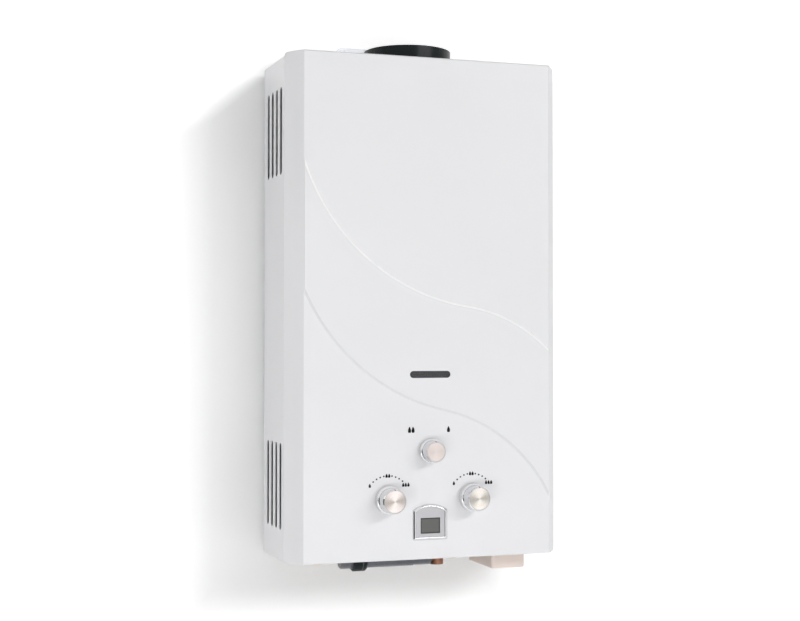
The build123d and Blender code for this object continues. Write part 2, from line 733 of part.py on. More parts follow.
PANEL_INSIDE = -DEPTH + SHEET
with BuildPart() as display_board:
    board_half = RIM_HALF - BOARD_INSET
    board_z = (RIM_BOTTOM + BOARD_INSET, RIM_SIDE_TOP + BOARD_INSET)
    slab((-board_half, board_half), (PANEL_INSIDE, PANEL_INSIDE + BOARD_T), board_z)
    slab(
        (-board_half + BOARD_WALL, board_half - BOARD_WALL),
        (PANEL_INSIDE, PANEL_INSIDE + BOARD_POCKET),
        (board_z[0] + BOARD_WALL, board_z[1] - BOARD_WALL),
        mode=Mode.SUBTRACT,
    )
    # the display's cell stands in the pocket, behind the lens
    slab(
        (-LENS_HALF + LENS_LEDGE, LENS_HALF - LENS_LEDGE),
        (PANEL_INSIDE + BOARD_POCKET - GLASS_CELL_T, PANEL_INSIDE + BOARD_POCKET),
        (LENS_Z[0] + LENS_LEDGE, LENS_Z[1] - LENS_LEDGE),
    )
save(display_board.part, "display_board")


def d_section(x, z, radius, flat):
    """A round section with one flat side, for a spindle and for the knob that it drives."""
    with BuildSketch(Plane.XZ) as section:
        with Locations((x, z)):
            Circle(radius)
        with Locations((x, z - flat - radius / 2)):
            Rectangle(2 * radius, radius, mode=Mode.SUBTRACT)
    return section.sketch


def control(prefix, x, z, cap_r, flare, reach, spindle_end):
    """A knob with its front disc and the spindle that it turns."""
    base_r = cap_r + flare
    skirt_h = SKIRT_SHARE * reach
    disc_r = cap_r - CAP_BEVEL_W - CAP_LIP
    spindle_tip = DEPTH + reach - SPINDLE_SINK
    grip_start = DEPTH + KNOB_GAP
    with BuildPart() as knob:
        with BuildSketch(Plane(origin=(x, -DEPTH, z), x_dir=RIGHT, z_dir=DOWN)) as half:
            with BuildLine():
                Polyline(
                    (0, KNOB_GAP),
                    (base_r, KNOB_GAP),
                    (base_r, skirt_h),
                    (cap_r + CAP_DRAFT, skirt_h + SHOULDER_H),
                    (cap_r, reach - CAP_BEVEL_H),
                    (cap_r - CAP_BEVEL_W, reach),
                    (disc_r, reach),
                    (disc_r, reach - DISC_T),
                    (0, reach - DISC_T),
                    close=True,
                )
            make_face()
            rounded = half.vertices().filter_by(lambda v: v.X > cap_r - CAP_BEVEL_W / 2)
            fillet(rounded, KNOB_ROUND)
        revolve(axis=Axis((x, -DEPTH, z), FRONT))
        # the pointer is a notch in the cap's edge
        slab(
            around(x, NOTCH_W / 2),
            (-DEPTH - reach - PAST, -DEPTH - reach + NOTCH_L),
            (z + cap_r - NOTCH_DEEP, z + cap_r + PAST),
            mode=Mode.SUBTRACT,
        )
        socket = d_section(x, z, SPINDLE_R + RUN, SPINDLE_FLAT + RUN)
        extrude(socket, amount=spindle_tip + RUN, mode=Mode.SUBTRACT)
    save(knob.part, f"{prefix}_knob")

    with BuildPart() as disc:
        rod(disc_r - RUN, (x, -DEPTH - reach + DISC_T, z), FRONT, DISC_T)
        chamfer(disc.faces().sort_by(Axis.Y)[0].edges(), DISC_BEVEL)
    save(disc.part, f"{prefix}_disc")

    with BuildPart() as spindle:
        rod(SPINDLE_R, (x, spindle_end, z), FRONT, grip_start + spindle_end)
        extrude(d_section(x, z, SPINDLE_R, SPINDLE_FLAT), amount=spindle_tip)
        slab(around(x, 2 * SPINDLE_R), (spindle_end, PAST), around(z, 2 * SPINDLE_R), mode=Mode.SUBTRACT)
    save(spindle.part, f"{prefix}_spindle")


MAIN_SPINDLE_END = BOSS_FRONT + MAIN_SPINDLE_IN
SEASON_SPINDLE_END = BOSS_FRONT + SEASON_SPINDLE_IN
control("gas", -MAIN_X, MAIN_Z, MAIN_CAP_R, MAIN_FLARE, MAIN_REACH, MAIN_SPINDLE_END)
control("water", MAIN_X, MAIN_Z, MAIN_CAP_R, MAIN_FLARE, MAIN_REACH, MAIN_SPINDLE_END)
control("season", 0, SEASON_Z, SEASON_CAP_R, SEASON_FLARE, SEASON_REACH, SEASON_SPINDLE_END)


def hood_face(depth, inset):
    """The hood's outline: wide over the heat exchanger, drawn in to a neck under the collar."""
    right_side = [
        (HOOD_NECK_HALF - inset, HOOD_TOP - inset),
        (HOOD_NECK_HALF - inset, HOOD_NECK),
        (HOOD_HALF - inset, HOOD_SHOULDER),
        (HOOD_HALF - inset, HOOD_BOTTOM + inset),
    ]
    left_side = [(-x, z) for x, z in reversed(right_side)]
    with BuildSketch(Plane.XZ.offset(depth)) as outline:
        with BuildLine():
            Polyline(*left_side, *right_side, close=True)
        make_face()
    return outline.sketch


# Hood over the heat exchanger
FLUE_BORE_R = FLUE_R - FLUE_T
with BuildPart() as hood:
    extrude(hood_face(SHEET, 0), amount=-HOOD_FRONT - SHEET)
    extrude(hood_face(2 * SHEET, SHEET), amount=-HOOD_FRONT - 3 * SHEET, mode=Mode.SUBTRACT)
    slab(
        (-CHAMBER_HALF + SHEET, CHAMBER_HALF - SHEET),
        (CHAMBER_FRONT + SHEET, CHAMBER_REAR - SHEET),
        (HOOD_BOTTOM - PAST, HOOD_BOTTOM + SHEET + PAST),
        mode=Mode.SUBTRACT,
    )
    bore(FLUE_BORE_R, (0, FLUE_Y, HOOD_TOP - SHEET - PAST), UP, SHEET + 2 * PAST)
    # draught slot, which lets room air in when the chimney stalls
    slab(
        (-DRAUGHT_SLOT_HALF, DRAUGHT_SLOT_HALF),
        (HOOD_FRONT - PAST, HOOD_FRONT + SHEET + PAST),
        (HOOD_NECK - DRAUGHT_SLOT_DROP - DRAUGHT_SLOT_H, HOOD_NECK - DRAUGHT_SLOT_DROP),
        mode=Mode.SUBTRACT,
    )
save(hood.part, "hood")

with BuildPart() as flue_collar:
    rod(FLUE_R + FLUE_FLANGE_W, (0, FLUE_Y, HOOD_TOP), UP, SHEET)
    rod(FLUE_R, (0, FLUE_Y, HOOD_TOP), UP, FLUE_LENGTH)
    bore(FLUE_BORE_R, (0, FLUE_Y, HOOD_TOP - PAST), UP, FLUE_LENGTH + 2 * PAST)
    fillet(flue_collar.faces().sort_by(Axis.Z)[-1].edges(), FLUE_LIP_R)
save(flue_collar.part, "flue_collar")

# Heat exchanger: an open box, a pack of fins and one tube that crosses them
with BuildPart() as exchanger_shell:
    slab((-CHAMBER_HALF, CHAMBER_HALF), (CHAMBER_FRONT, CHAMBER_REAR), (CHAMBER_BOTTOM, HOOD_BOTTOM))
    slab(
        (-CHAMBER_HALF + SHEET, CHAMBER_HALF - SHEET),
        (CHAMBER_FRONT + SHEET, CHAMBER_REAR - SHEET),
        (CHAMBER_BOTTOM - PAST, HOOD_BOTTOM + PAST),
        mode=Mode.SUBTRACT,
    )
    hole_length = 2 * (CHAMBER_HALF + PAST)
    for y in TUBE_YS:
        bore(TUBE_R + TUBE_FREE, (-hole_length / 2, y, TUBE_Z), RIGHT, hole_length)
save(exchanger_shell.part, "exchanger_shell")

fin_planes = [Plane.YZ.offset((i - (FIN_COUNT - 1) / 2) * FIN_PITCH - FIN_T / 2) for i in range(FIN_COUNT)]
with BuildPart() as exchanger_fins:
    with BuildSketch(*fin_planes):
        with Locations((CHAMBER_MID_Y, TUBE_Z + (FIN_ABOVE - FIN_BELOW) / 2)):
            Rectangle(CHAMBER_REAR - CHAMBER_FRONT - 2 * FIN_INSET, FIN_ABOVE + FIN_BELOW)
        with Locations(*[(y, TUBE_Z) for y in TUBE_YS]):
            Circle(TUBE_R + TUBE_FREE, mode=Mode.SUBTRACT)
    extrude(amount=FIN_T)
save(exchanger_fins.part, "exchanger_fins")

TUBE_BEND_X = CHAMBER_HALF + TUBE_BEND_OUT
with BuildPart() as exchanger_tube:
    with BuildLine() as coil:
        for row, y in enumerate(TUBE_YS):
            heading = -1 if row % 2 == 0 else 1
            start_x = TUBE_END if row == 0 else -heading * TUBE_BEND_X
            end_x = heading * (TUBE_END if row == TUBE_ROWS - 1 else TUBE_BEND_X)
            Line((start_x, y, TUBE_Z), (end_x, y, TUBE_Z))
            if row < TUBE_ROWS - 1:
                ThreePointArc(
                    (end_x, y, TUBE_Z),
                    (end_x + heading * TUBE_PITCH / 2, y + TUBE_PITCH / 2, TUBE_Z),
                    (end_x, y + TUBE_PITCH, TUBE_Z),
                )
    with BuildSketch(Plane(origin=(TUBE_END, TUBE_YS[0], TUBE_Z), z_dir=LEFT)):
        Circle(TUBE_R)
        Circle(TUBE_BORE, mode=Mode.SUBTRACT)
    sweep(path=coil.wires()[0])
save(exchanger_tube.part, "exchanger_tube")

# Water pipes between the valve, the heat exchanger and the outlet
COLD_PIPE = (WATER_X[1] - COLD_PIPE_IN, ROD_Y + COLD_PIPE_BACK)
COLD_TURN_Z = VALVE_Z[1] + 2 * PIPE_BEND + PIPE_STRAIGHT
HOT_NECK_TOP = PORT_NUT_TOP + PORT_NECK_L
COLD_ROUTE = [
    (*COLD_PIPE, VALVE_Z[1]),
    (*COLD_PIPE, COLD_TURN_Z),
    (RISER_X, TUBE_YS[0], COLD_TURN_Z),
    (RISER_X, TUBE_YS[0], TUBE_Z),
    (TUBE_END, TUBE_YS[0], TUBE_Z),
]
HOT_ROUTE = [
    (-TUBE_END, TUBE_YS[-1], TUBE_Z),
    (-RISER_X, TUBE_YS[-1], TUBE_Z),
    (-RISER_X, TUBE_YS[-1], VALVE_Z[1]),
    (HOT_PORT_X, PORT_Y, HOT_NECK_TOP + HOT_DROP),
    (HOT_PORT_X, PORT_Y, HOT_NECK_TOP),
]
water_runs = [pipe(route, TUBE_R, TUBE_BORE, PIPE_BEND) for route in (COLD_ROUTE, HOT_ROUTE)]
with BuildPart() as water_pipes:
    add(water_runs)
save(water_pipes.part, "water_pipes")

union_x = CHAMBER_HALF + UNION_OUT
with BuildPart() as pipe_unions:
    for x, y, heading in ((union_x, TUBE_YS[0], RIGHT), (-union_x, TUBE_YS[-1], LEFT)):
        with BuildSketch(Plane(origin=(x, y, TUBE_Z), z_dir=heading)):
            RegularPolygon(UNION_R, 6)
            Circle(TUBE_R + TUBE_FREE, mode=Mode.SUBTRACT)
        extrude(amount=UNION_L)
save(pipe_unions.part, "pipe_unions")

# Burner: a tray with cross members, slotted bars, a gas rail and its jets
FRONT_SHEET = (CHAMBER_FRONT, CHAMBER_FRONT + SHEET)
TRAY_FRONT_Z = (TRAY_BOTTOM + TRAY_WINDOW, TRAY_BOTTOM + TRAY_WINDOW + TRAY_FRONT_H)
with BuildPart() as burner_tray:
    for side in both(CHAMBER_HALF - SHEET, CHAMBER_HALF):
        slab(side, (CHAMBER_FRONT, CHAMBER_REAR), (TRAY_BOTTOM, CHAMBER_BOTTOM))
    slab((-CHAMBER_HALF, CHAMBER_HALF), (CHAMBER_REAR - SHEET, CHAMBER_REAR), (TRAY_BOTTOM, CHAMBER_BOTTOM))
    slab((-CHAMBER_HALF, CHAMBER_HALF), FRONT_SHEET, TRAY_FRONT_Z)
    for leg in both(CHAMBER_HALF - TRAY_LEG, CHAMBER_HALF):
        slab(leg, FRONT_SHEET, (TRAY_BOTTOM, TRAY_FRONT_Z[1]))
    for y in (CHAMBER_FRONT + TRAY_RAIL_IN, CHAMBER_REAR - TRAY_RAIL_IN):
        slab((-CHAMBER_HALF, CHAMBER_HALF), around(y, TRAY_RAIL_W / 2), (TRAY_BOTTOM, BAR_Z[0]))
save(burner_tray.part, "burner_tray")

with BuildPart() as burner_bars:
    for x in BAR_XS:
        slab(around(x, BAR_W / 2), BAR_Y, BAR_Z)
        bore(BAR_MOUTH_R, (x, BAR_Y[0] - PAST, JET_Z), BACK, BAR_MOUTH_L + PAST)
    with BuildSketch(Plane.XY.offset(BAR_Z[1])):
        for x in BAR_XS:
            with Locations((x, CHAMBER_MID_Y)):
                with GridLocations(0, BAR_SLOT_PITCH, 1, BAR_SLOTS):
                    Rectangle(BAR_W - 2 * BAR_SLOT_WALL, BAR_SLOT_W)
    extrude(amount=-BAR_SLOT_DEEP, mode=Mode.SUBTRACT)
save(burner_bars.part, "burner_bars")

with BuildPart() as gas_rail:
    slab((-RAIL_HALF, RAIL_HALF), (RAIL_FRONT, CHAMBER_FRONT), RAIL_Z)
    fillet(gas_rail.edges().filter_by(Axis.X), RAIL_WALL)
    slab(
        (-RAIL_HALF + RAIL_WALL, RAIL_HALF - RAIL_WALL),
        (RAIL_FRONT + RAIL_WALL, CHAMBER_FRONT - RAIL_WALL),
        (RAIL_Z[0] + RAIL_WALL, RAIL_Z[1] - RAIL_WALL),
        mode=Mode.SUBTRACT,
    )
    for x in BAR_XS:
        rod(JET_R + TUBE_FREE, (x, CHAMBER_FRONT - RAIL_WALL - PAST, JET_Z), BACK, RAIL_WALL + 2 * PAST,
            mode=Mode.SUBTRACT)
save(gas_rail.part, "gas_rail")

JET_L = BAR_Y[0] - JET_GAP - CHAMBER_FRONT + JET_IN
with BuildPart() as gas_jets:
    for x in BAR_XS:
        rod(JET_R, (x, CHAMBER_FRONT - JET_IN, JET_Z), BACK, JET_L)
        rod(JET_R + JET_NUT_W, (x, CHAMBER_FRONT, JET_Z), BACK, JET_NUT_L)
        bore(JET_BORE, (x, CHAMBER_FRONT - JET_IN - PAST, JET_Z), BACK, JET_L + 2 * PAST)
save(gas_jets.part, "gas_jets")

# Spark electrode and flame sensor in front of the burner
WIRE_FOOT = INSULATOR_Z[0] + WIRE_IN
WIRE_TURN = INSULATOR_Z[1] + WIRE_OUT
with BuildPart() as insulators:
    for x in (-ELECTRODE_X, ELECTRODE_X):
        rod(INSULATOR_R, (x, ELECTRODE_Y, INSULATOR_Z[0]), UP, INSULATOR_H)
        rod(INSULATOR_R + INSULATOR_COLLAR_W, (x, ELECTRODE_Y, INSULATOR_Z[0] + INSULATOR_COLLAR_RISE), UP,
            INSULATOR_COLLAR_H)
        bore(WIRE_R + TUBE_FREE, (x, ELECTRODE_Y, WIRE_FOOT), UP, INSULATOR_H)
save(insulators.part, "insulators")

wires = []
for x, wire_reach in ((-ELECTRODE_X, SPARK_REACH), (ELECTRODE_X, SENSE_REACH)):
    tip = (x, CHAMBER_FRONT + wire_reach, WIRE_TURN + WIRE_LIFT)
    wires.append(pipe([(x, ELECTRODE_Y, WIRE_FOOT), (x, ELECTRODE_Y, WIRE_TURN), tip], WIRE_R, 0, WIRE_BEND))
with BuildPart() as electrodes:
    add(wires)
save(electrodes.part, "electrodes")

# Gas valve with its solenoid, and the season valve on top of it
SEAT_END_X = SEAT_X + SEAT_T
GAS_CAVITY_END = SEAT_X - GAS_CAVITY_L
GAS_OUTLET_L = GAS_X[1] - GAS_OUTLET_WALL - SEAT_END_X
with BuildPart() as gas_valve:
    slab(GAS_X, VALVE_Y, VALVE_Z)
    fillet(gas_valve.edges().filter_by(Axis.X), VALVE_EDGE_R)
    rod(BOSS_R, (-MAIN_X, VALVE_Y[0] + SHEET, MAIN_Z), FRONT, BOSS_L + SHEET)
    bore(SPINDLE_R + RUN, (-MAIN_X, BOSS_FRONT - PAST, MAIN_Z), BACK, MAIN_SPINDLE_IN + 3 * PAST)
    bore(GAS_CAVITY_R, (SEAT_X, ROD_Y, MAIN_Z), LEFT, GAS_CAVITY_L)
    bore(SEAT_HOLE_R, (SEAT_X, ROD_Y, MAIN_Z), RIGHT, SEAT_T)
    bore(GAS_OUTLET_R, (SEAT_END_X, ROD_Y, MAIN_Z), RIGHT, GAS_OUTLET_L)
    bore(ROD_R + RUN, (SEAT_END_X, ROD_Y, MAIN_Z), RIGHT, GAS_W)
    # inlet passage from the gas inlet, and outlet passage to the season valve
    bore(PORT_BORE_R, (GAS_PORT_X, PORT_Y, VALVE_Z[0] - PAST), UP, VALVE_HALF_H + PORT_BORE_R)
    bore(PORT_BORE_R, (GAS_PORT_X, PORT_Y, MAIN_Z), FRONT, PORT_Y - ROD_Y - GAS_CAVITY_R / 2)
    bore(PASSAGE_R, (*GAS_OUTLET, MAIN_Z), UP, VALVE_HALF_H + PAST)
    bore(PASSAGE_R, (*GAS_OUTLET, MAIN_Z), BACK, ROD_Y - GAS_OUTLET[1])
save(gas_valve.part, "gas_valve")

with BuildPart() as solenoid_valve:
    rod(SOLENOID_R, (GAS_X[0], ROD_Y, MAIN_Z), LEFT, SOLENOID_L)
    rod(SOLENOID_TIP_R, (GAS_X[0] - SOLENOID_L, ROD_Y, MAIN_Z), LEFT, SOLENOID_TIP_L)
    slab(
        around(GAS_X[0] - SOLENOID_L / 2, SOLENOID_L / 4),
        around(ROD_Y, SOLENOID_R / 4),
        (MAIN_Z + SOLENOID_R - PAST, MAIN_Z + SOLENOID_R + 3 * PAST),
    )
    chamfer(solenoid_valve.faces().sort_by(Axis.X)[0].edges(), SOLENOID_TIP_L / 5)
save(solenoid_valve.part, "solenoid_valve")

with BuildPart() as season_valve:
    slab(
        (-SEASON_BLOCK_HALF, SEASON_BLOCK_HALF),
        (VALVE_Y[0], VALVE_Y[0] + SEASON_BLOCK_D),
        (VALVE_Z[1], SEASON_Z),
    )
    slab((-SEASON_POST_HALF, SEASON_POST_HALF), (BOSS_FRONT, CHAMBER_FRONT), (SEASON_Z, RAIL_Z[0]))
    rod(SEASON_BOSS_R, (0, BOSS_FRONT, SEASON_Z), BACK, SEASON_BOSS_L)
    bore(SPINDLE_R + RUN, (0, BOSS_FRONT - PAST, SEASON_Z), BACK, SEASON_SPINDLE_IN + 2 * PAST)
    bore(PASSAGE_R, (*GAS_OUTLET, VALVE_Z[1] - PAST), UP, SEASON_Z - VALVE_Z[1] + PAST)
save(season_valve.part, "season_valve")

# Water valve: a body and a cover with a diaphragm between them
screw_spots = PolarLocations(SCREW_CIRCLE, VALVE_SCREWS).locations
SCREW_CENTRES = [(ROD_Y + spot.position.X, MAIN_Z + spot.position.Y) for spot in screw_spots]


def screw_holes():
    for y, z in SCREW_CENTRES:
        bore(VALVE_SCREW_R + RUN, (COVER_X[0] - PAST, y, z), RIGHT, VALVE_SCREW_L + 2 * PAST)


with BuildPart() as water_valve:
    rod(CHAMBER_R, (BODY_FACE_X, ROD_Y, MAIN_Z), RIGHT, CHAMBER_NECK + SHEET)
    slab(WATER_X, VALVE_Y, VALVE_Z)
    rod(BOSS_R, (MAIN_X, VALVE_Y[0] + SHEET, MAIN_Z), FRONT, BOSS_L + SHEET)
    bore(CHAMBER_BORE, (BODY_FACE_X - PAST, ROD_Y, MAIN_Z), RIGHT, CHAMBER_DEEP + PAST)
    bore(SPINDLE_R + RUN, (MAIN_X, BOSS_FRONT - PAST, MAIN_Z), BACK, MAIN_SPINDLE_IN + 2 * PAST)
    bore(PORT_BORE_R, (COLD_PORT_X, PORT_Y, VALVE_Z[0] - PAST), UP, VALVE_HALF_H)
    bore(TUBE_BORE, (*COLD_PIPE, MAIN_Z), UP, VALVE_HALF_H + PAST)
    bore(PASSAGE_R, (BODY_FACE_X, ROD_Y, MAIN_Z), RIGHT, COLD_PIPE[0] - BODY_FACE_X)
    screw_holes()
save(water_valve.part, "water_valve")

with BuildPart() as valve_cover:
    rod(CHAMBER_R, (COVER_X[0], ROD_Y, MAIN_Z), RIGHT, COVER_T)
    bore(CHAMBER_BORE, (COVER_X[1] + PAST, ROD_Y, MAIN_Z), LEFT, COVER_DEEP + PAST)
    bore(ROD_R + RUN, (COVER_X[0] - PAST, ROD_Y, MAIN_Z), RIGHT, COVER_T + 2 * PAST)
    screw_holes()
save(valve_cover.part, "valve_cover")

with BuildPart() as diaphragm:
    rod(CHAMBER_R, (COVER_X[1], ROD_Y, MAIN_Z), RIGHT, DIAPHRAGM_T)
    screw_holes()
save(diaphragm.part, "diaphragm")

with BuildPart() as valve_screws:
    for y, z in SCREW_CENTRES:
        rod(VALVE_SCREW_R, (COVER_X[0], y, z), RIGHT, VALVE_SCREW_L)
        rod(SCREW_HEAD_R, (COVER_X[0] - SCREW_HEAD_H, y, z), RIGHT, SCREW_HEAD_H)
save(valve_screws.part, "valve_screws")

# Flow rod: water flow moves it to the left, where its disc opens the gas
ROD_COLLAR_X = COVER_X[0] - ROD_COLLAR_GAP - ROD_COLLAR_T
with BuildPart() as flow_rod:
    rod(ROD_R, (SEAT_X, ROD_Y, MAIN_Z), RIGHT, COVER_X[1] - SEAT_X)
    rod(CHAMBER_BORE - ROD_PLATE_GAP, (COVER_X[1], ROD_Y, MAIN_Z), LEFT, ROD_PLATE_T)
    rod(ROD_COLLAR_R, (ROD_COLLAR_X, ROD_Y, MAIN_Z), RIGHT, ROD_COLLAR_T)
    rod(SEAT_DISC_R, (SEAT_X, ROD_Y, MAIN_Z), LEFT, SEAT_DISC_T)
save(flow_rod.part, "flow_rod")

SPRING_RUN = GAS_CAVITY_L - SEAT_DISC_T - 2 * SPRING_WIRE_R
with BuildPart() as valve_spring:
    with BuildLine() as coil_line:
        Helix(
            pitch=SPRING_RUN / SPRING_TURNS,
            height=SPRING_RUN,
            radius=SPRING_R,
            center=(GAS_CAVITY_END + SPRING_WIRE_R, ROD_Y, MAIN_Z),
            direction=RIGHT,
        )
    with BuildSketch(Plane(origin=coil_line.edges()[0] @ 0, z_dir=coil_line.edges()[0] % 0)):
        Circle(SPRING_WIRE_R)
    sweep(path=coil_line.wires()[0], is_frenet=True)
save(valve_spring.part, "valve_spring")

# Micro switch: the rod's collar swings its lever
SWITCH_X = (COVER_X[0] - SWITCH_GAP - SWITCH_W, COVER_X[0] - SWITCH_GAP)
SWITCH_Z = (VALVE_Z[1] + SWITCH_RISE, VALVE_Z[1] + SWITCH_RISE + SWITCH_H)
LEVER_X = SWITCH_X[1] - LEVER_IN
LEVER_Z = SWITCH_Z[0] + LEVER_RISE
LEVER_Y = around(ROD_Y, LEVER_HALF_W)
with BuildPart() as micro_switch:
    slab(SWITCH_X, around(ROD_Y, SWITCH_HALF_D), SWITCH_Z)
    slab((GAS_X[1] - SWITCH_HALF_D, SWITCH_X[1]), around(ROD_Y, SWITCH_HALF_D), (VALVE_Z[1], SWITCH_Z[0]))
    slab(
        around(LEVER_X, LEVER_SWING_ROOM),
        around(ROD_Y, LEVER_HALF_W + LEVER_ROOM),
        (VALVE_Z[1] - PAST, LEVER_Z + LEVER_SWING_ROOM + PAST / 2),
        mode=Mode.SUBTRACT,
    )
    pin_length = 2 * (LEVER_HALF_W + LEVER_ROOM + PAST)
    rod(LEVER_PIN_R, (LEVER_X, ROD_Y - pin_length / 2, LEVER_Z), BACK, pin_length)
save(micro_switch.part, "micro_switch")

with BuildPart() as switch_lever:
    rod(LEVER_BARREL_R, (LEVER_X, LEVER_Y[0], LEVER_Z), BACK, 2 * LEVER_HALF_W)
    slab(around(LEVER_X, LEVER_T / 2), LEVER_Y, (MAIN_Z + LEVER_LAP, LEVER_Z))
    rod(LEVER_PIN_R + RUN, (LEVER_X, LEVER_Y[0] - PAST, LEVER_Z), BACK, 2 * (LEVER_HALF_W + PAST),
        mode=Mode.SUBTRACT)
save(switch_lever.part, "switch_lever")


def port(name, x, top):
    """A half-inch connection: a thread that points down, a hexagon and a neck."""
    with BuildPart() as fitting:
        rod(THREAD_R, (x, PORT_Y, THREAD_BOTTOM), UP, THREAD_L)
        with BuildSketch(Plane.XY.offset(THREAD_BOTTOM + THREAD_L)):
            with Locations((x, PORT_Y)):
                RegularPolygon(PORT_NUT_ACROSS / 2, 6, major_radius=False)
        extrude(amount=PORT_NUT_H)
        rod(PORT_NECK_R, (x, PORT_Y, PORT_NUT_TOP), UP, top - PORT_NUT_TOP)
        bore(PORT_BORE_R, (x, PORT_Y, THREAD_BOTTOM - PAST), UP, top - THREAD_BOTTOM + 2 * PAST)
    save(fitting.part, name)


port("gas_inlet", GAS_PORT_X, VALVE_Z[0])
port("cold_inlet", COLD_PORT_X, VALVE_Z[0])
port("hot_outlet", HOT_PORT_X, HOT_NECK_TOP)

# Brackets that tie the inner parts to the back panel
PLATE_X = (HOT_PORT_X - PORT_EDGE, WATER_X[1] - WATER_EDGE)
with BuildPart() as brackets:
    slab(PLATE_X, (PORT_Y - PORT_EDGE, -SHEET), (PORT_NUT_TOP, PORT_NUT_TOP + BRACKET_T))
    slab(PLATE_X, (-SHEET - BRACKET_T, -SHEET), (PORT_NUT_TOP, PORT_NUT_TOP + BRACKET_UP))
    for x in (GAS_PORT_X, COLD_PORT_X, HOT_PORT_X):
        bore(PORT_NECK_R + RUN, (x, PORT_Y, PORT_NUT_TOP - PAST), UP, BRACKET_T + 2 * PAST)
    # saddle that holds the drain bar
    slab(
        SADDLE_X,
        (DRAIN_Y - SADDLE_LAP, PORT_Y - PORT_EDGE + SADDLE_H),
        (PORT_NUT_TOP - SADDLE_H, PORT_NUT_TOP),
    )
    rod(DRAIN_R + RUN, (SADDLE_X[0] - PAST, DRAIN_Y, DRAIN_Z), RIGHT, SADDLE_X[1] - SADDLE_X[0] + 2 * PAST,
        mode=Mode.SUBTRACT)
    # feet behind the valves, the burner, the heat exchanger and the battery box
    for x in (-MAIN_X - 2 * BOSS_R, MAIN_X + 2 * BOSS_R - PAST):
        slab(around(x, BOSS_R * 2 / 3), (VALVE_REAR, -SHEET), around(MAIN_Z, BOSS_R))
    for x in (-CHAMBER_HALF + CUTOUT_IN, CHAMBER_HALF - CUTOUT_IN):
        for z in (TRAY_BOTTOM + TRAY_WINDOW, CHAMBER_BOTTOM + TRAY_WINDOW):
            slab(around(x, BOSS_R), (CHAMBER_REAR, -SHEET), around(z, BOSS_R))
    slab(around(BOX_MID_X, BOX_W / 4), (BOX_Y[1], -SHEET), (BRACKET_UP, BRACKET_UP + 2 * BOSS_R))
save(brackets.part, "brackets")

# Drain line: a stepped bar, a nut that turns on it, a lock ring and a copper elbow
with BuildPart() as drain_bar:
    rod(DRAIN_R, (DRAIN_LEFT, DRAIN_Y, DRAIN_Z), RIGHT, DRAIN_L - DRAIN_THIN_L)
    rod(DRAIN_R - DRAIN_STEP, (DRAIN_RIGHT - DRAIN_THIN_L, DRAIN_Y, DRAIN_Z), RIGHT, DRAIN_THIN_L)
    rod(NUT_R - DRAIN_STEP, (NUT_X[1], DRAIN_Y, DRAIN_Z), RIGHT, FLANGE_T)
    rod(DRAIN_R + STOP_T, (NUT_X[0] - STOP_T, DRAIN_Y, DRAIN_Z), RIGHT, STOP_T)
    chamfer(drain_bar.faces().sort_by(Axis.X)[0].edges(), DRAIN_END_BEVEL)
    bore(ELBOW_R + TUBE_FREE, (DRAIN_LEFT + DRAIN_R / 2, DRAIN_Y, DRAIN_Z), RIGHT, DRAIN_L)
save(drain_bar.part, "drain_bar")

with BuildPart() as drain_nut:
    rod(NUT_R, (NUT_X[0], DRAIN_Y, DRAIN_Z), RIGHT, NUT_L)
    chamfer(drain_nut.faces().sort_by(Axis.X)[0].edges(), NUT_BEVEL)
    with BuildSketch(Plane.YZ.offset(NUT_X[0] - PAST)):
        with Locations((DRAIN_Y, DRAIN_Z)):
            with PolarLocations(NUT_R + NUT_GROOVE_R / 2, NUT_GROOVES):
                Circle(NUT_GROOVE_R)
    extrude(amount=NUT_L + 2 * PAST, mode=Mode.SUBTRACT)
    bore(DRAIN_R + RUN, (NUT_X[0] - PAST, DRAIN_Y, DRAIN_Z), RIGHT, NUT_L + 2 * PAST)
save(drain_nut.part, "drain_nut")

with BuildPart() as lock_ring:
    rod(NUT_R, (RING_X[0], DRAIN_Y, DRAIN_Z), RIGHT, RING_L)
    chamfer(lock_ring.faces().sort_by(Axis.X)[-1].edges(), NUT_BEVEL)
    bore(DRAIN_R + RUN, (RING_X[0] - PAST, DRAIN_Y, DRAIN_Z), RIGHT, RING_L + 2 * PAST)
save(lock_ring.part, "lock_ring")

ELBOW_TURN_Z = DRAIN_Z + 2 * ELBOW_BEND + ELBOW_RISE
ELBOW_ROUTE = [
    (DRAIN_RIGHT - ELBOW_SEAT, DRAIN_Y, DRAIN_Z),
    (ELBOW_X, DRAIN_Y, DRAIN_Z),
    (ELBOW_X, DRAIN_Y, ELBOW_TURN_Z),
    (DRAIN_PORT_X, DRAIN_Y, ELBOW_TURN_Z),
    (DRAIN_PORT_X, DRAIN_Y, VALVE_Z[0]),
]
elbow_outside = pipe(ELBOW_ROUTE, ELBOW_R, 0, ELBOW_BEND)
elbow_bore = pipe(ELBOW_ROUTE, ELBOW_R - ELBOW_WALL, 0, ELBOW_BEND)
with BuildPart() as drain_elbow:
    add(elbow_outside)
    # sump under the rising run, where grit settles
    rod(ELBOW_R + SUMP_W, (ELBOW_X, DRAIN_Y, DRAIN_Z - SUMP_DROP), UP, SUMP_DROP + ELBOW_BEND)
    add(elbow_bore, mode=Mode.SUBTRACT)
save(drain_elbow.part, "drain_elbow")

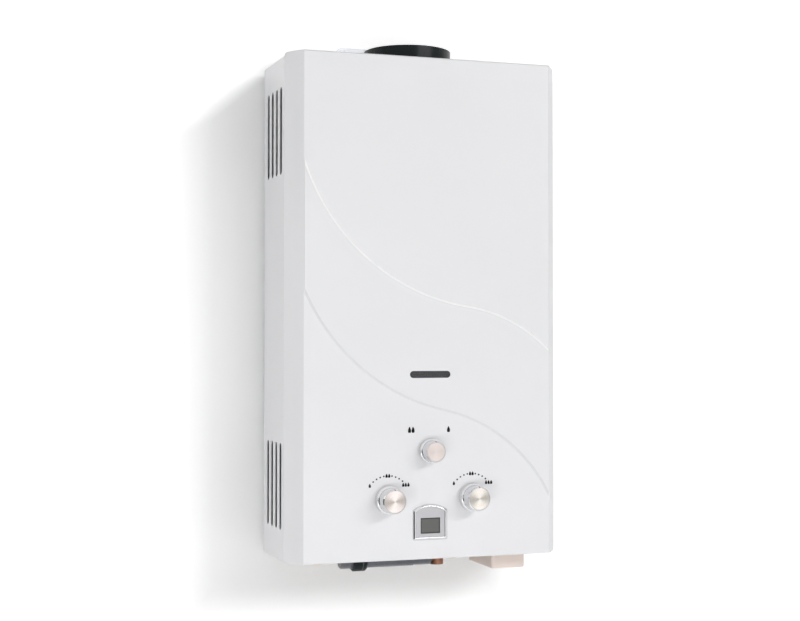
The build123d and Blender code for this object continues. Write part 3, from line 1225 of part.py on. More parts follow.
# Battery box with a lid that hinges down at the rear, two cells and their contacts
BOX_MID_Y = (BOX_Y[0] + BOX_Y[1]) / 2
BOX_CEILING = BOX_TOP - BOX_WALL
CELL_YS = (BOX_MID_Y - CELL_R - CELL_MID_GAP / 2, BOX_MID_Y + CELL_R + CELL_MID_GAP / 2)
with BuildPart() as battery_box:
    slab(BOX_X, BOX_Y, (LID_TOP, BOX_TOP))
    fillet(battery_box.edges().filter_by(Axis.Z), BOX_CORNER)
    slab(
        (BOX_X[0] + BOX_WALL, BOX_X[1] - BOX_WALL),
        (BOX_Y[0] + BOX_WALL, BOX_Y[1] - BOX_WALL),
        (LID_TOP - PAST, BOX_CEILING),
        mode=Mode.SUBTRACT,
    )
    # wall between the cells
    slab(
        (BOX_X[0] + BOX_WALL / 2, BOX_X[1] - BOX_WALL / 2),
        around(BOX_MID_Y, BOX_WALL / 2),
        (CELL_Z[0] + CELL_R / 2, BOX_CEILING + BOX_WALL / 2),
    )
    for lug in both(LUG_INNER, LUG_OUTER):
        span = (BOX_MID_X + lug[0], BOX_MID_X + lug[1])
        rod(HINGE_R, (span[0], HINGE_Y, LID_TOP), RIGHT, LUG_OUTER - LUG_INNER)
        slab(span, (BOX_Y[1] - BOX_WALL / 2, HINGE_Y), (LID_TOP, LID_TOP + HINGE_R))
        slab(span, (BOX_Y[1] - BOX_WALL / 2, BOX_Y[1] + LUG_ROOT), (LID_TOP, LID_TOP + 2 * HINGE_OUT))
    rod(HINGE_PIN_R, (BOX_MID_X - LUG_OUTER, HINGE_Y, LID_TOP), RIGHT, 2 * LUG_OUTER)
save(battery_box.part, "battery_box")

with BuildPart() as battery_lid:
    slab(BOX_X, BOX_Y, (LID_TOP - LID_T, LID_TOP))
    fillet(battery_lid.edges().filter_by(Axis.Z), BOX_CORNER)
    fillet(battery_lid.faces().sort_by(Axis.Z)[0].edges(), LID_EDGE_R)
    barrel = around(BOX_MID_X, LUG_INNER - HINGE_GAP)
    rod(HINGE_R, (barrel[0], HINGE_Y, LID_TOP), RIGHT, barrel[1] - barrel[0])
    slab(barrel, (BOX_Y[1] - BOX_CORNER, HINGE_Y), (LID_TOP - HINGE_R, LID_TOP - HINGE_GAP))
    bore(HINGE_PIN_R + RUN, (barrel[0] - PAST, HINGE_Y, LID_TOP), RIGHT, 2 * (LUG_INNER + PAST))
    # finger groove at the front
    slab(
        around(BOX_MID_X, BOX_W / 5),
        (BOX_Y[0] + LID_T, BOX_Y[0] + 2 * LID_T - SHEET),
        (LID_TOP - LID_T - PAST, LID_TOP - LID_T * 2 / 3),
        mode=Mode.SUBTRACT,
    )
save(battery_lid.part, "battery_lid")

PAD_HALF = CELL_TIP_R - HINGE_GAP
with BuildPart() as lid_contact:
    slab(
        around(BOX_MID_X, 1.5 * PAD_HALF),
        (CELL_YS[0] - CELL_TIP_R, CELL_YS[1] + CELL_TIP_R),
        (LID_TOP, LID_TOP + CONTACT_T),
    )
    for y in CELL_YS:
        slab(
            around(BOX_MID_X, PAD_HALF),
            around(y, PAD_HALF),
            (LID_TOP, CELL_Z[0] - CELL_TIP - HINGE_GAP / 2),
        )
save(lid_contact.part, "lid_contact")

with BuildPart() as battery_cells:
    for y in CELL_YS:
        rod(CELL_R, (BOX_MID_X, y, CELL_Z[0]), UP, CELL_H)
    chamfer(battery_cells.edges().filter_by(GeomType.CIRCLE), CELL_BEVEL)
    rod(CELL_TIP_R, (BOX_MID_X, CELL_YS[0], CELL_Z[1]), UP, CELL_TIP)
    rod(CELL_TIP_R, (BOX_MID_X, CELL_YS[1], CELL_Z[0]), DOWN, CELL_TIP)
save(battery_cells.part, "battery_cells")

with BuildPart() as battery_contacts:
    for y, foot in ((CELL_YS[0], CELL_Z[1] + CELL_TIP), (CELL_YS[1], CELL_Z[1])):
        slab(
            around(BOX_MID_X, 1.5 * PAD_HALF),
            around(y, 2 * PAD_HALF),
            (BOX_CEILING - CONTACT_T, BOX_CEILING),
        )
        slab(around(BOX_MID_X, PAD_HALF), around(y, PAD_HALF), (foot, BOX_CEILING))
save(battery_contacts.part, "battery_contacts")

# Igniter box with two lead boots
SPARK_BOOT = (-ELECTRODE_X, IGNITER_Z[1] - SPARK_BOOT_DROP)
SENSE_BOOT = (-ELECTRODE_X - BOOT_STEP, IGNITER_Z[1] - SENSE_BOOT_DROP)
with BuildPart() as igniter_box:
    slab(IGNITER_X, IGNITER_Y, IGNITER_Z)
    fillet(igniter_box.edges().filter_by(Axis.Y), IGNITER_CORNER)
    for x, z in (SPARK_BOOT, SENSE_BOOT):
        rod(BOOT_R, (x, IGNITER_Y[0] + SHEET, z), FRONT, BOOT_L + SHEET)
save(igniter_box.part, "igniter_box")

# Overheat cut-out on the heat exchanger and draught sensor on the hood
CUTOUT = (-CHAMBER_HALF + CUTOUT_IN, TUBE_Z - CUTOUT_DROP)
DRAUGHT = (HOOD_HALF - DRAUGHT_IN, HOOD_BOTTOM + DRAUGHT_RISE)
with BuildPart() as safety_sensors:
    for (x, z), y in ((CUTOUT, CHAMBER_FRONT), (DRAUGHT, HOOD_FRONT)):
        rod(SENSOR_R + SENSOR_RIM, (x, y, z), FRONT, SENSOR_RIM_T)
        rod(SENSOR_R, (x, y, z), FRONT, SENSOR_L)
save(safety_sensors.part, "safety_sensors")

# Leads, which run behind the front panel at two depths
NEAR_Y = -DEPTH + LEAD_NEAR_GAP
FAR_Y = -DEPTH + LEAD_FAR_GAP
BOOT_FRONT = IGNITER_Y[0] - BOOT_L
OVER_RAIL_Z = RAIL_Z[1] + LEAD_OVER_RAIL
UNDER_RAIL_Z = RAIL_Z[0] - LEAD_UNDER_RAIL
SIDE_X = min(-HOOD_HALF, IGNITER_X[0] - LEAD_SIDE)
REAR_Y = (IGNITER_Y[0] + IGNITER_Y[1]) / 2
BATTERY_LEAD_Z = IGNITER_Z[0] + SENSOR_R
DISPLAY_LEAD_X = LENS_HALF - TERMINAL
DISPLAY_LEAD_Z = VALVE_Z[0] - PORT_NUT_TOP
CELL_LEAD = (BOX_MID_X, BOX_Y[1] - CELL_R / 2)
CUT_X = (CUTOUT[0] - TERMINAL, CUTOUT[0] + TERMINAL)
CUT_Z = (CUTOUT[1] - TERMINAL_DROP, CUTOUT[1] + TERMINAL_DROP)
CUTOUT_FACE = CHAMBER_FRONT - SENSOR_L
IGNITION_ROUTE = [
    (SPARK_BOOT[0], BOOT_FRONT, SPARK_BOOT[1]),
    (SPARK_BOOT[0], NEAR_Y, SPARK_BOOT[1]),
    (SPARK_BOOT[0], NEAR_Y, OVER_RAIL_Z),
    (SPARK_BOOT[0], ELECTRODE_Y, OVER_RAIL_Z),
    (SPARK_BOOT[0], ELECTRODE_Y, INSULATOR_Z[0]),
]
SENSE_ROUTE = [
    (SENSE_BOOT[0], BOOT_FRONT, SENSE_BOOT[1]),
    (SENSE_BOOT[0], FAR_Y, SENSE_BOOT[1]),
    (SENSE_BOOT[0], FAR_Y, UNDER_RAIL_Z),
    (ELECTRODE_X, FAR_Y, UNDER_RAIL_Z),
    (ELECTRODE_X, FAR_Y, OVER_RAIL_Z),
    (ELECTRODE_X, ELECTRODE_Y, OVER_RAIL_Z),
    (ELECTRODE_X, ELECTRODE_Y, INSULATOR_Z[0]),
]
CUTOUT_ROUTE = [
    (CUT_X[0], CUTOUT_FACE, CUT_Z[0]),
    (CUT_X[0], NEAR_Y, CUT_Z[0]),
    (SIDE_X, NEAR_Y, CUT_Z[0]),
    (SIDE_X, NEAR_Y, SENSE_BOOT[1]),
    (SIDE_X, REAR_Y, SENSE_BOOT[1]),
    (IGNITER_X[0], REAR_Y, SENSE_BOOT[1]),
]
DRAUGHT_ROUTE = [
    (DRAUGHT[0], HOOD_FRONT - SENSOR_L, DRAUGHT[1]),
    (DRAUGHT[0], FAR_Y, DRAUGHT[1]),
    (DRAUGHT[0], FAR_Y, CUT_Z[1]),
    (CUT_X[1], FAR_Y, CUT_Z[1]),
    (CUT_X[1], CUTOUT_FACE, CUT_Z[1]),
]
BATTERY_ROUTE = [
    (*CELL_LEAD, BOX_TOP),
    (*CELL_LEAD, BATTERY_LEAD_Z),
    (BOX_MID_X, REAR_Y, BATTERY_LEAD_Z),
    (IGNITER_X[1], REAR_Y, BATTERY_LEAD_Z),
]
DISPLAY_ROUTE = [
    (DISPLAY_LEAD_X, PANEL_INSIDE + BOARD_T, DISPLAY_LEAD_Z),
    (DISPLAY_LEAD_X, REAR_Y, DISPLAY_LEAD_Z),
    (SPARK_BOOT[0], REAR_Y, DISPLAY_LEAD_Z),
    (SPARK_BOOT[0], REAR_Y, IGNITER_Z[0]),
]
lead_routes = (IGNITION_ROUTE, SENSE_ROUTE, CUTOUT_ROUTE, DRAUGHT_ROUTE, BATTERY_ROUTE, DISPLAY_ROUTE)
lead_runs = [pipe(route, LEAD_R, 0, LEAD_BEND) for route in lead_routes]
with BuildPart() as leads:
    add(lead_runs)
save(leads.part, "leads")
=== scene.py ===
import math

import bmesh
import bpy
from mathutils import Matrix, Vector


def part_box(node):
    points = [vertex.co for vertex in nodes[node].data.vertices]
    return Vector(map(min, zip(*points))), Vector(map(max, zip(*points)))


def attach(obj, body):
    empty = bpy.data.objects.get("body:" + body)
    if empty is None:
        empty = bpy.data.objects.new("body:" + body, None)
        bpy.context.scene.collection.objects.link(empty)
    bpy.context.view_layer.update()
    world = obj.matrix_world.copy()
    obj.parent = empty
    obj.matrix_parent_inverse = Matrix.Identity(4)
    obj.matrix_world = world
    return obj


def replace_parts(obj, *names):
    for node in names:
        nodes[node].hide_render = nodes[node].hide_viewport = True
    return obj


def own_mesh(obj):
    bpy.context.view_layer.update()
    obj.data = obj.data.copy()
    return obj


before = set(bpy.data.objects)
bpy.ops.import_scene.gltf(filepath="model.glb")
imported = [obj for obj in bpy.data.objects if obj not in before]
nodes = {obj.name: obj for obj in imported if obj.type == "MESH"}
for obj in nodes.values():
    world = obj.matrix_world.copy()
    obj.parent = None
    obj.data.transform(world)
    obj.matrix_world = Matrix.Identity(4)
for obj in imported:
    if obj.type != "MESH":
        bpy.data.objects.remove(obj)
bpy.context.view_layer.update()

MM = 0.001
scene = bpy.context.scene


def middle(node):
    """The centre of a CAD node's box."""
    low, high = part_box(node)
    return [(a + b) / 2 for a, b in zip(low, high)]


# Node helpers: a value is set on the socket, an output of another node is linked to it.
def feed(tree, socket, value):
    if isinstance(value, bpy.types.NodeSocket):
        tree.links.new(value, socket)
    else:
        socket.default_value = value


def put(tree, kind, inputs=None, **settings):
    node = tree.nodes.new(kind)
    for name, value in settings.items():
        setattr(node, name, value)
    for name, value in (inputs or {}).items():
        feed(tree, node.inputs[name], value)
    return node


def work(tree, operation, first, second=0.0, third=0.0):
    node = put(tree, "ShaderNodeMath", {0: first, 1: second, 2: third}, operation=operation)
    return node.outputs[0]


def times(tree, first, *others):
    for other in others:
        first = work(tree, "MULTIPLY", first, other)
    return first


def largest(tree, first, *others):
    for other in others:
        first = work(tree, "MAXIMUM", first, other)
    return first


def spread(tree, value, low, high, to_low=0.0, to_high=1.0):
    node = put(tree, "ShaderNodeMapRange", {"Value": value, "From Min": low, "From Max": high,
                                            "To Min": to_low, "To Max": to_high})
    return node.outputs[0]


def between(tree, mask, ends):
    """From the first end where the mask is 0 to the second where it is 1."""
    return spread(tree, mask, 0.0, 1.0, ends[0], ends[1])


def blend_colour(tree, factor, first, second):
    node = put(tree, "ShaderNodeMix", {0: factor, 6: first, 7: second}, data_type="RGBA")
    return node.outputs[2]


def cover(tree, base, coat, mask, share=None):
    """Lays a coat's colour, or a share of it, over the base where the mask is."""
    factor = times(tree, mask, share) if share else mask
    return blend_colour(tree, factor, base, coat)


def own_place(tree):
    return put(tree, "ShaderNodeTexCoord").outputs["Object"]


def facing(tree):
    return put(tree, "ShaderNodeNewGeometry").outputs["Normal"]


def split(tree, vector):
    return put(tree, "ShaderNodeSeparateXYZ", {0: vector}).outputs


def vector_work(tree, operation, first, second, third=(0.0, 0.0, 0.0)):
    return put(tree, "ShaderNodeVectorMath", {0: first, 1: second, 2: third}, operation=operation).outputs


def noise(tree, place, scale, detail=3.0, rough=0.55):
    node = put(tree, "ShaderNodeTexNoise", {"Vector": place, "Scale": scale, "Detail": detail,
                                            "Roughness": rough})
    return node.outputs["Fac"]


def colour(red, green, blue):
    return (red, green, blue, 1.0)


# Shared surface effects. Noise keeps near its middle, so what lies between these two is stretched.
NOISE_LOW, NOISE_HIGH = 0.3, 0.7
SOCKETS = {"value": "NodeSocketFloat", "colour": "NodeSocketColor", "vector": "NodeSocketVector"}


def new_group(name, inputs, outputs):
    group = bpy.data.node_groups.new(name, "ShaderNodeTree")
    for label, kind, value in inputs:
        socket = group.interface.new_socket(label, in_out="INPUT", socket_type=SOCKETS[kind])
        socket.default_value = value
    for label, kind in outputs:
        group.interface.new_socket(label, in_out="OUTPUT", socket_type=SOCKETS[kind])
    given = group.nodes.new("NodeGroupInput")
    result = group.nodes.new("NodeGroupOutput")
    return group, given.outputs, result.inputs


def make_tone_drift():
    group, given, result = new_group(
        "tone_drift",
        [("Color", "colour", colour(0.8, 0.8, 0.8)), ("Scale", "value", 8.0), ("Spread", "value", 0.03)],
        [("Color", "colour")])
    cloud = noise(group, own_place(group), given["Scale"], 4.0)
    down = work(group, "SUBTRACT", 1.0, given["Spread"])
    up = work(group, "ADD", 1.0, given["Spread"])
    factor = spread(group, cloud, NOISE_LOW, NOISE_HIGH, down, up)
    shifted = put(group, "ShaderNodeVectorMath", {0: given["Color"], "Scale": factor}, operation="SCALE")
    feed(group, result["Color"], shifted.outputs[0])
    return group


def make_orange_peel():
    group, given, result = new_group(
        "orange_peel", [("Scale", "value", 500.0)], [("Height", "value"), ("Haze", "value")])
    place = own_place(group)
    haze = noise(group, place, times(group, given["Scale"], 0.03), 4.0)
    feed(group, result["Height"], noise(group, place, given["Scale"], 2.0, 0.4))
    feed(group, result["Haze"], spread(group, haze, NOISE_LOW, NOISE_HIGH))
    return group


def make_brushed():
    group, given, result = new_group(
        "brushed", [("Stretch", "vector", (60.0, 1500.0, 1500.0))],
        [("Height", "value"), ("Streak", "value")])
    drawn = vector_work(group, "MULTIPLY", own_place(group), given["Stretch"])[0]
    lines = noise(group, drawn, 1.0, 4.0, 0.6)
    feed(group, result["Height"], lines)
    feed(group, result["Streak"], spread(group, lines, NOISE_LOW, NOISE_HIGH))
    return group


# A turned face wavers at this rate per groove, and its two dark fans of painted reflection are turned by half
# this angle.
GROOVE_WAVER = 0.63
SHEEN_FAN_LEAN = -0.3


def make_spun():
    group, given, result = new_group(
        "spun", [("Centre", "vector", (0.0, 0.0, 0.0)), ("Pitch", "value", 0.4 * MM)],
        [("Height", "value"), ("Ring", "value"), ("PaintedSheen", "value")])
    parts = split(group, vector_work(group, "SUBTRACT", own_place(group), given["Centre"])[0])
    flat = put(group, "ShaderNodeCombineXYZ", {"X": parts["X"], "Z": parts["Z"]}).outputs[0]
    radius = put(group, "ShaderNodeVectorMath", {0: flat}, operation="LENGTH").outputs["Value"]
    turns = work(group, "DIVIDE", radius, given["Pitch"])
    groove = work(group, "SINE", times(group, turns, 2.0 * math.pi))
    uneven = put(group, "ShaderNodeTexNoise", {"W": times(group, turns, GROOVE_WAVER), "Scale": 1.0,
                                               "Detail": 3.0}, noise_dimensions="1D").outputs["Fac"]
    angle = work(group, "ARCTAN2", parts["Z"], parts["X"])
    # Two dark fans fixed to the face: painted reflection of the turned metal.
    sheen_wave = work(group, "COSINE", work(group, "MULTIPLY_ADD", angle, 2.0, SHEEN_FAN_LEAN))
    sheen_fan = work(group, "POWER", spread(group, sheen_wave, -1.0, 1.0), 2.0)
    feed(group, result["Height"], times(group, groove, uneven))
    feed(group, result["Ring"], spread(group, uneven, NOISE_LOW, NOISE_HIGH))
    feed(group, result["PaintedSheen"], sheen_fan)
    return group


# The flakes' edges wander by about this much.
FLAKE_WANDER = 6.0 * MM


def make_zinc_spangle():
    group, given, result = new_group(
        "zinc_spangle", [("Scale", "value", 120.0)], [("Tone", "value"), ("Gloss", "value")])
    place = own_place(group)
    wobble = put(group, "ShaderNodeTexNoise", {"Vector": place, "Scale": 90.0}).outputs["Color"]
    bent = vector_work(group, "MULTIPLY_ADD", wobble, (FLAKE_WANDER,) * 3, place)[0]
    flakes = put(group, "ShaderNodeTexVoronoi", {"Vector": bent, "Scale": given["Scale"]})
    tone = put(group, "ShaderNodeSeparateColor", {0: flakes.outputs["Color"]}).outputs
    feed(group, result["Tone"], tone[0])
    feed(group, result["Gloss"], tone[1])
    return group


# Noise over the top is fully stained. Full cover brings that down by the reach, and the stain fades
# over the edge.
STAIN_TOP = 0.9
STAIN_REACH = 0.6
STAIN_EDGE = 0.25


def make_tarnish():
    group, given, result = new_group(
        "tarnish", [("Scale", "value", 40.0), ("Cover", "value", 0.5)], [("Mask", "value")])
    cloud = noise(group, own_place(group), given["Scale"], 6.0, 0.65)
    high = work(group, "SUBTRACT", STAIN_TOP, times(group, given["Cover"], STAIN_REACH))
    low = work(group, "SUBTRACT", high, STAIN_EDGE)
    feed(group, result["Mask"], spread(group, cloud, low, high))
    return group


# How alike a rounded and a plain normal are, from a flat face to a full edge.
EDGE_LIKENESS = (0.995, 0.88)


def make_edge_rub():
    group, given, result = new_group(
        "edge_rub", [("Radius", "value", 1.2 * MM)], [("Mask", "value")])
    round_edge = put(group, "ShaderNodeBevel", {"Radius": given["Radius"]}, samples=6).outputs[0]
    turn = vector_work(group, "DOT_PRODUCT", round_edge, facing(group))["Value"]
    rub = spread(group, turn, EDGE_LIKENESS[0], EDGE_LIKENESS[1])
    patchy = spread(group, noise(group, own_place(group), 260.0, 4.0), 0.35, 0.65, 0.25, 1.0)
    feed(group, result["Mask"], times(group, rub, patchy))
    return group


# Upward lean of a face, from where dust starts to hold to where it lies fully.
DUST_LEAN = (0.3, 0.95)


def make_settled_dust():
    group, given, result = new_group(
        "settled_dust", [("Amount", "value", 0.2)], [("Mask", "value")])
    lying = spread(group, split(group, facing(group))["Z"], DUST_LEAN[0], DUST_LEAN[1])
    patchy = spread(group, noise(group, own_place(group), 70.0, 6.0, 0.7), 0.35, 0.7, 0.2, 1.0)
    feed(group, result["Mask"], times(group, lying, patchy, given["Amount"]))
    return group


def make_grit():
    group, given, result = new_group(
        "grit", [("Scale", "value", 1800.0)], [("Height", "value"), ("Speck", "value")])
    place = own_place(group)
    speck = noise(group, place, times(group, given["Scale"], 0.3), 2.0)
    feed(group, result["Height"], noise(group, place, given["Scale"], 3.0, 0.7))
    feed(group, result["Speck"], spread(group, speck, 0.35, 0.65))
    return group


tone_drift = make_tone_drift()
orange_peel = make_orange_peel()
brushed = make_brushed()
spun = make_spun()
zinc_spangle = make_zinc_spangle()
tarnish = make_tarnish()
edge_rub = make_edge_rub()
settled_dust = make_settled_dust()
grit = make_grit()


def effect(tree, group, **inputs):
    return put(tree, "ShaderNodeGroup", inputs, node_tree=group).outputs


def new_material(name):
    material = bpy.data.materials.new(name)
    material.use_nodes = True
    tree = material.node_tree
    return material, tree, tree.nodes["Principled BSDF"]


def bump(tree, height, strength, depth):
    return put(tree, "ShaderNodeBump", {"Height": height, "Strength": strength,
                                        "Distance": depth}).outputs[0]


def set_up(tree, shader, **inputs):
    for name, value in inputs.items():
        feed(tree, shader.inputs[name.replace("_", " ")], value)


# Stove enamel: slight tone drift, orange peel and paler rubbed edges, with painted shade and highlight on
# chosen faces where given.
PALE_DUST = colour(0.62, 0.60, 0.57)


def enamel(name, tone, rubbed, rough, glint=0.5, dusty=0.12, painted_shading=None):
    material, tree, shader = new_material(name)
    drift = effect(tree, tone_drift, Color=tone, Scale=5.0, Spread=0.012)
    rub = effect(tree, edge_rub, Radius=1.2 * MM)["Mask"]
    peel = effect(tree, orange_peel, Scale=420.0)
    dust = effect(tree, settled_dust, Amount=dusty)["Mask"]
    base = cover(tree, drift["Color"], rubbed, rub, 0.5)
    base = cover(tree, base, PALE_DUST, dust)
    # Painted shade and highlight on chosen faces, where given.
    if painted_shading:
        base = painted_shading(tree, base)
    set_up(tree, shader, Base_Color=base, Roughness=between(tree, peel["Haze"], rough),
           Specular_IOR_Level=glint, Normal=bump(tree, peel["Height"], 0.12, 0.05 * MM))
    return material


# Inner faces lie deeper than the skin. They lean forward or downward by more than the lean, or inward
# so far that their distance from the middle times that lean is over the reach. They get near-black painted
# shade for the inside of the casing.
PAINTED_INNER_SHADE = colour(0.022, 0.023, 0.025)
SKIN = 0.9 * MM
LEAN = 0.5
INWARD_REACH = 50.0 * MM


def painted_shade_inside_casing(tree, base):
    """Lays near-black painted shade over the casing's inner faces."""
    low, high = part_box("casing")
    place = split(tree, own_place(tree))
    normal = split(tree, facing(tree))
    within = work(tree, "LESS_THAN", work(tree, "ABSOLUTE", place["X"]), high[0] - SKIN)
    over = work(tree, "GREATER_THAN", place["Z"], low[2] + SKIN)
    inward = work(tree, "LESS_THAN", times(tree, place["X"], normal["X"]), -INWARD_REACH)
    forward = work(tree, "LESS_THAN", normal["Y"], -LEAN)
    downward = work(tree, "LESS_THAN", normal["Z"], -LEAN)
    turned_in = largest(tree, inward, forward, downward)
    return cover(tree, base, PAINTED_INNER_SHADE, times(tree, within, over, turned_in))


# The raised band lies on the panel's flat, clear of its ends. A face of the band looks up or down by
# this mix of its normal's X and Z. The upward slope gets a painted highlight, the downward one painted shade.
PANEL_END = 20.0 * MM
BESIDE_FLAT = 18.2 * MM
BAND_TILT = 0.6
BAND_LEAN = (0.1, 0.2)
UPPER_SLOPE_HIGHLIGHT = colour(0.97, 0.97, 0.97)
LOWER_SLOPE_SHADE = colour(0.715, 0.715, 0.73)
REAR_LEAN = 0.2


def panel_painted_light(tree, base):
    """Near-black painted shade on the front panel's inner faces; a painted highlight on the band's upper
    slope and painted shade on its lower one.
    """
    low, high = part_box("front_panel")
    normal = split(tree, facing(tree))
    place = split(tree, own_place(tree))
    below_top = work(tree, "LESS_THAN", place["Z"], high[2] - PANEL_END)
    above_foot = work(tree, "GREATER_THAN", place["Z"], low[2] + PANEL_END)
    on_flat = work(tree, "LESS_THAN", work(tree, "ABSOLUTE", place["X"]), high[0] - BESIDE_FLAT)
    tilt = work(tree, "MULTIPLY_ADD", normal["X"], BAND_TILT, normal["Z"])
    upper_highlight = spread(tree, tilt, BAND_LEAN[0], BAND_LEAN[1])
    lower_shade = spread(tree, tilt, -BAND_LEAN[0], -BAND_LEAN[1])
    base = cover(tree, base, UPPER_SLOPE_HIGHLIGHT, times(tree, upper_highlight, below_top, on_flat))
    base = cover(tree, base, LOWER_SLOPE_SHADE, times(tree, lower_shade, above_foot, on_flat))
    return cover(tree, base, PAINTED_INNER_SHADE, work(tree, "GREATER_THAN", normal["Y"], REAR_LEAN))


# Galvanised sheet: zinc flakes, dull stains and dust on what faces up.
SHEET_DUST = colour(0.42, 0.40, 0.37)


def zinc_sheet(name, tone, shade, rough):
    material, tree, shader = new_material(name)
    flake = effect(tree, zinc_spangle, Scale=130.0)
    dust = effect(tree, settled_dust, Amount=0.35)["Mask"]
    stain = effect(tree, tarnish, Scale=14.0, Cover=0.35)["Mask"]
    base = blend_colour(tree, flake["Tone"], shade, tone)
    base = cover(tree, base, shade, stain, 0.35)
    base = cover(tree, base, SHEET_DUST, dust)
    set_up(tree, shader, Base_Color=base, Roughness=between(tree, flake["Gloss"], rough),
           Metallic=between(tree, dust, (1.0, 0.2)), Normal=bump(tree, flake["Tone"], 0.05, 0.1 * MM))
    return material


# Plated or drawn metal with fine lines and rubbed edges.
def drawn_metal(name, tone, shade, rough, stretch, relief=0.06):
    material, tree, shader = new_material(name)
    drift = effect(tree, tone_drift, Color=tone, Scale=30.0, Spread=0.05)
    lines = effect(tree, brushed, Stretch=stretch)
    rub = effect(tree, edge_rub, Radius=0.6 * MM)["Mask"]
    base = cover(tree, drift["Color"], shade, lines["Streak"], 0.35)
    base = cover(tree, base, tone, rub, 0.4)
    set_up(tree, shader, Base_Color=base, Roughness=between(tree, lines["Streak"], rough), Metallic=1.0,
           Normal=bump(tree, lines["Height"], relief, 0.05 * MM))
    return material


# Copper and brass: a bright ground with darker heat stain.
def stained_metal(name, bright, stain, stained, rough):
    material, tree, shader = new_material(name)
    drift = effect(tree, tone_drift, Color=bright, Scale=45.0, Spread=0.08)
    mask = effect(tree, tarnish, Scale=55.0, Cover=stained)["Mask"]
    rub = effect(tree, edge_rub, Radius=0.5 * MM)["Mask"]
    fine = effect(tree, grit, Scale=900.0)
    base = cover(tree, drift["Color"], stain, mask, 0.8)
    base = cover(tree, base, bright, rub, 0.5)
    set_up(tree, shader, Base_Color=base, Roughness=between(tree, mask, rough), Metallic=1.0,
           Normal=bump(tree, fine["Height"], 0.1, 0.05 * MM))
    return material


# Die-cast alloy: fine sand grain and rubbed corners.
def cast_metal(name, tone, shade, rough):
    material, tree, shader = new_material(name)
    grains = effect(tree, grit, Scale=1100.0)
    rub = effect(tree, edge_rub, Radius=0.7 * MM)["Mask"]
    mask = effect(tree, tarnish, Scale=30.0, Cover=0.5)["Mask"]
    base = blend_colour(tree, grains["Speck"], tone, shade)
    base = cover(tree, base, shade, mask, 0.5)
    base = cover(tree, base, tone, rub, 0.6)
    set_up(tree, shader, Base_Color=base, Roughness=between(tree, grains["Speck"], rough), Metallic=0.9,
           Normal=bump(tree, grains["Height"], 0.25, 0.12 * MM))
    return material


# Moulded plastic, rubber, ceramic and ink: fine grain, tone drift and rubbed edges.
GREY_DUST = colour(0.45, 0.43, 0.40)


def moulded(name, tone, rubbed, rough, grain=1500.0, relief=0.12, dusty=0.1, glint=0.5):
    material, tree, shader = new_material(name)
    drift = effect(tree, tone_drift, Color=tone, Scale=22.0, Spread=0.035)
    grains = effect(tree, grit, Scale=grain)
    rub = effect(tree, edge_rub, Radius=0.6 * MM)["Mask"]
    dust = effect(tree, settled_dust, Amount=dusty)["Mask"]
    base = cover(tree, drift["Color"], rubbed, rub, 0.45)
    base = cover(tree, base, GREY_DUST, dust)
    set_up(tree, shader, Base_Color=base, Roughness=between(tree, grains["Speck"], rough),
           Specular_IOR_Level=glint, Normal=bump(tree, grains["Height"], relief, 0.06 * MM))
    return material


# Knob disc: turned grooves about the knob's axis. Its two dark fans are painted reflection in its colour;
# the two bright fans between them are the lamps' anisotropic reflection on the paler base.
def turned_disc(name, node, tone, shade, rough, anisotropy, painted_sheen_share):
    centre_x, _, centre_z = middle(node)
    material, tree, shader = new_material(name)
    turning = effect(tree, spun, Centre=(centre_x, 0.0, centre_z), Pitch=0.35 * MM)
    drift = effect(tree, tone_drift, Color=tone, Scale=60.0, Spread=0.02)
    # The fan mask lays the shade colour on as painted reflection.
    base = cover(tree, drift["Color"], shade, turning["PaintedSheen"], painted_sheen_share)
    around = put(tree, "ShaderNodeTangent", direction_type="RADIAL", axis="Y").outputs[0]
    set_up(tree, shader, Base_Color=base, Roughness=between(tree, turning["Ring"], rough), Metallic=1.0,
           Anisotropic=anisotropy, Anisotropic_Rotation=0.25, Tangent=around,
           Normal=bump(tree, turning["Height"], 0.05, 0.02 * MM))
    return material


# Display lens: grey liquid crystal behind a clear face. Its dark border sets in at the first depth from
# the edge and is full at the second.
LENS_BORDER = (1.9 * MM, 1.1 * MM)


def liquid_crystal(name, node, ground, border):
    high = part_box(node)[1]
    centre_x, _, centre_z = middle(node)
    material, tree, shader = new_material(name)
    place = split(tree, own_place(tree))
    across = work(tree, "ABSOLUTE", work(tree, "SUBTRACT", place["X"], centre_x))
    upward = work(tree, "ABSOLUTE", work(tree, "SUBTRACT", place["Z"], centre_z))
    past_edge = largest(tree, work(tree, "SUBTRACT", across, high[0] - centre_x),
                        work(tree, "SUBTRACT", upward, high[2] - centre_z))
    edge = spread(tree, past_edge, -LENS_BORDER[0], -LENS_BORDER[1])
    drift = effect(tree, tone_drift, Color=ground, Scale=90.0, Spread=0.03)
    cells = effect(tree, grit, Scale=2600.0)
    base = cover(tree, drift["Color"], border, edge)
    set_up(tree, shader, Base_Color=base, Roughness=between(tree, cells["Speck"], (0.12, 0.2)),
           Coat_Weight=0.4, Normal=bump(tree, cells["Height"], 0.02, 0.02 * MM))
    return material


# Sight glass: tinted, and only partly clear.
def tinted_glass(name, tone, clear):
    material, tree, shader = new_material(name)
    drift = effect(tree, tone_drift, Color=tone, Scale=40.0, Spread=0.03)
    fine = effect(tree, orange_peel, Scale=300.0)
    set_up(tree, shader, Base_Color=drift["Color"], Roughness=between(tree, fine["Haze"], (0.02, 0.06)),
           IOR=1.5, Transmission_Weight=clear, Normal=bump(tree, fine["Height"], 0.03, 0.02 * MM))
    return material


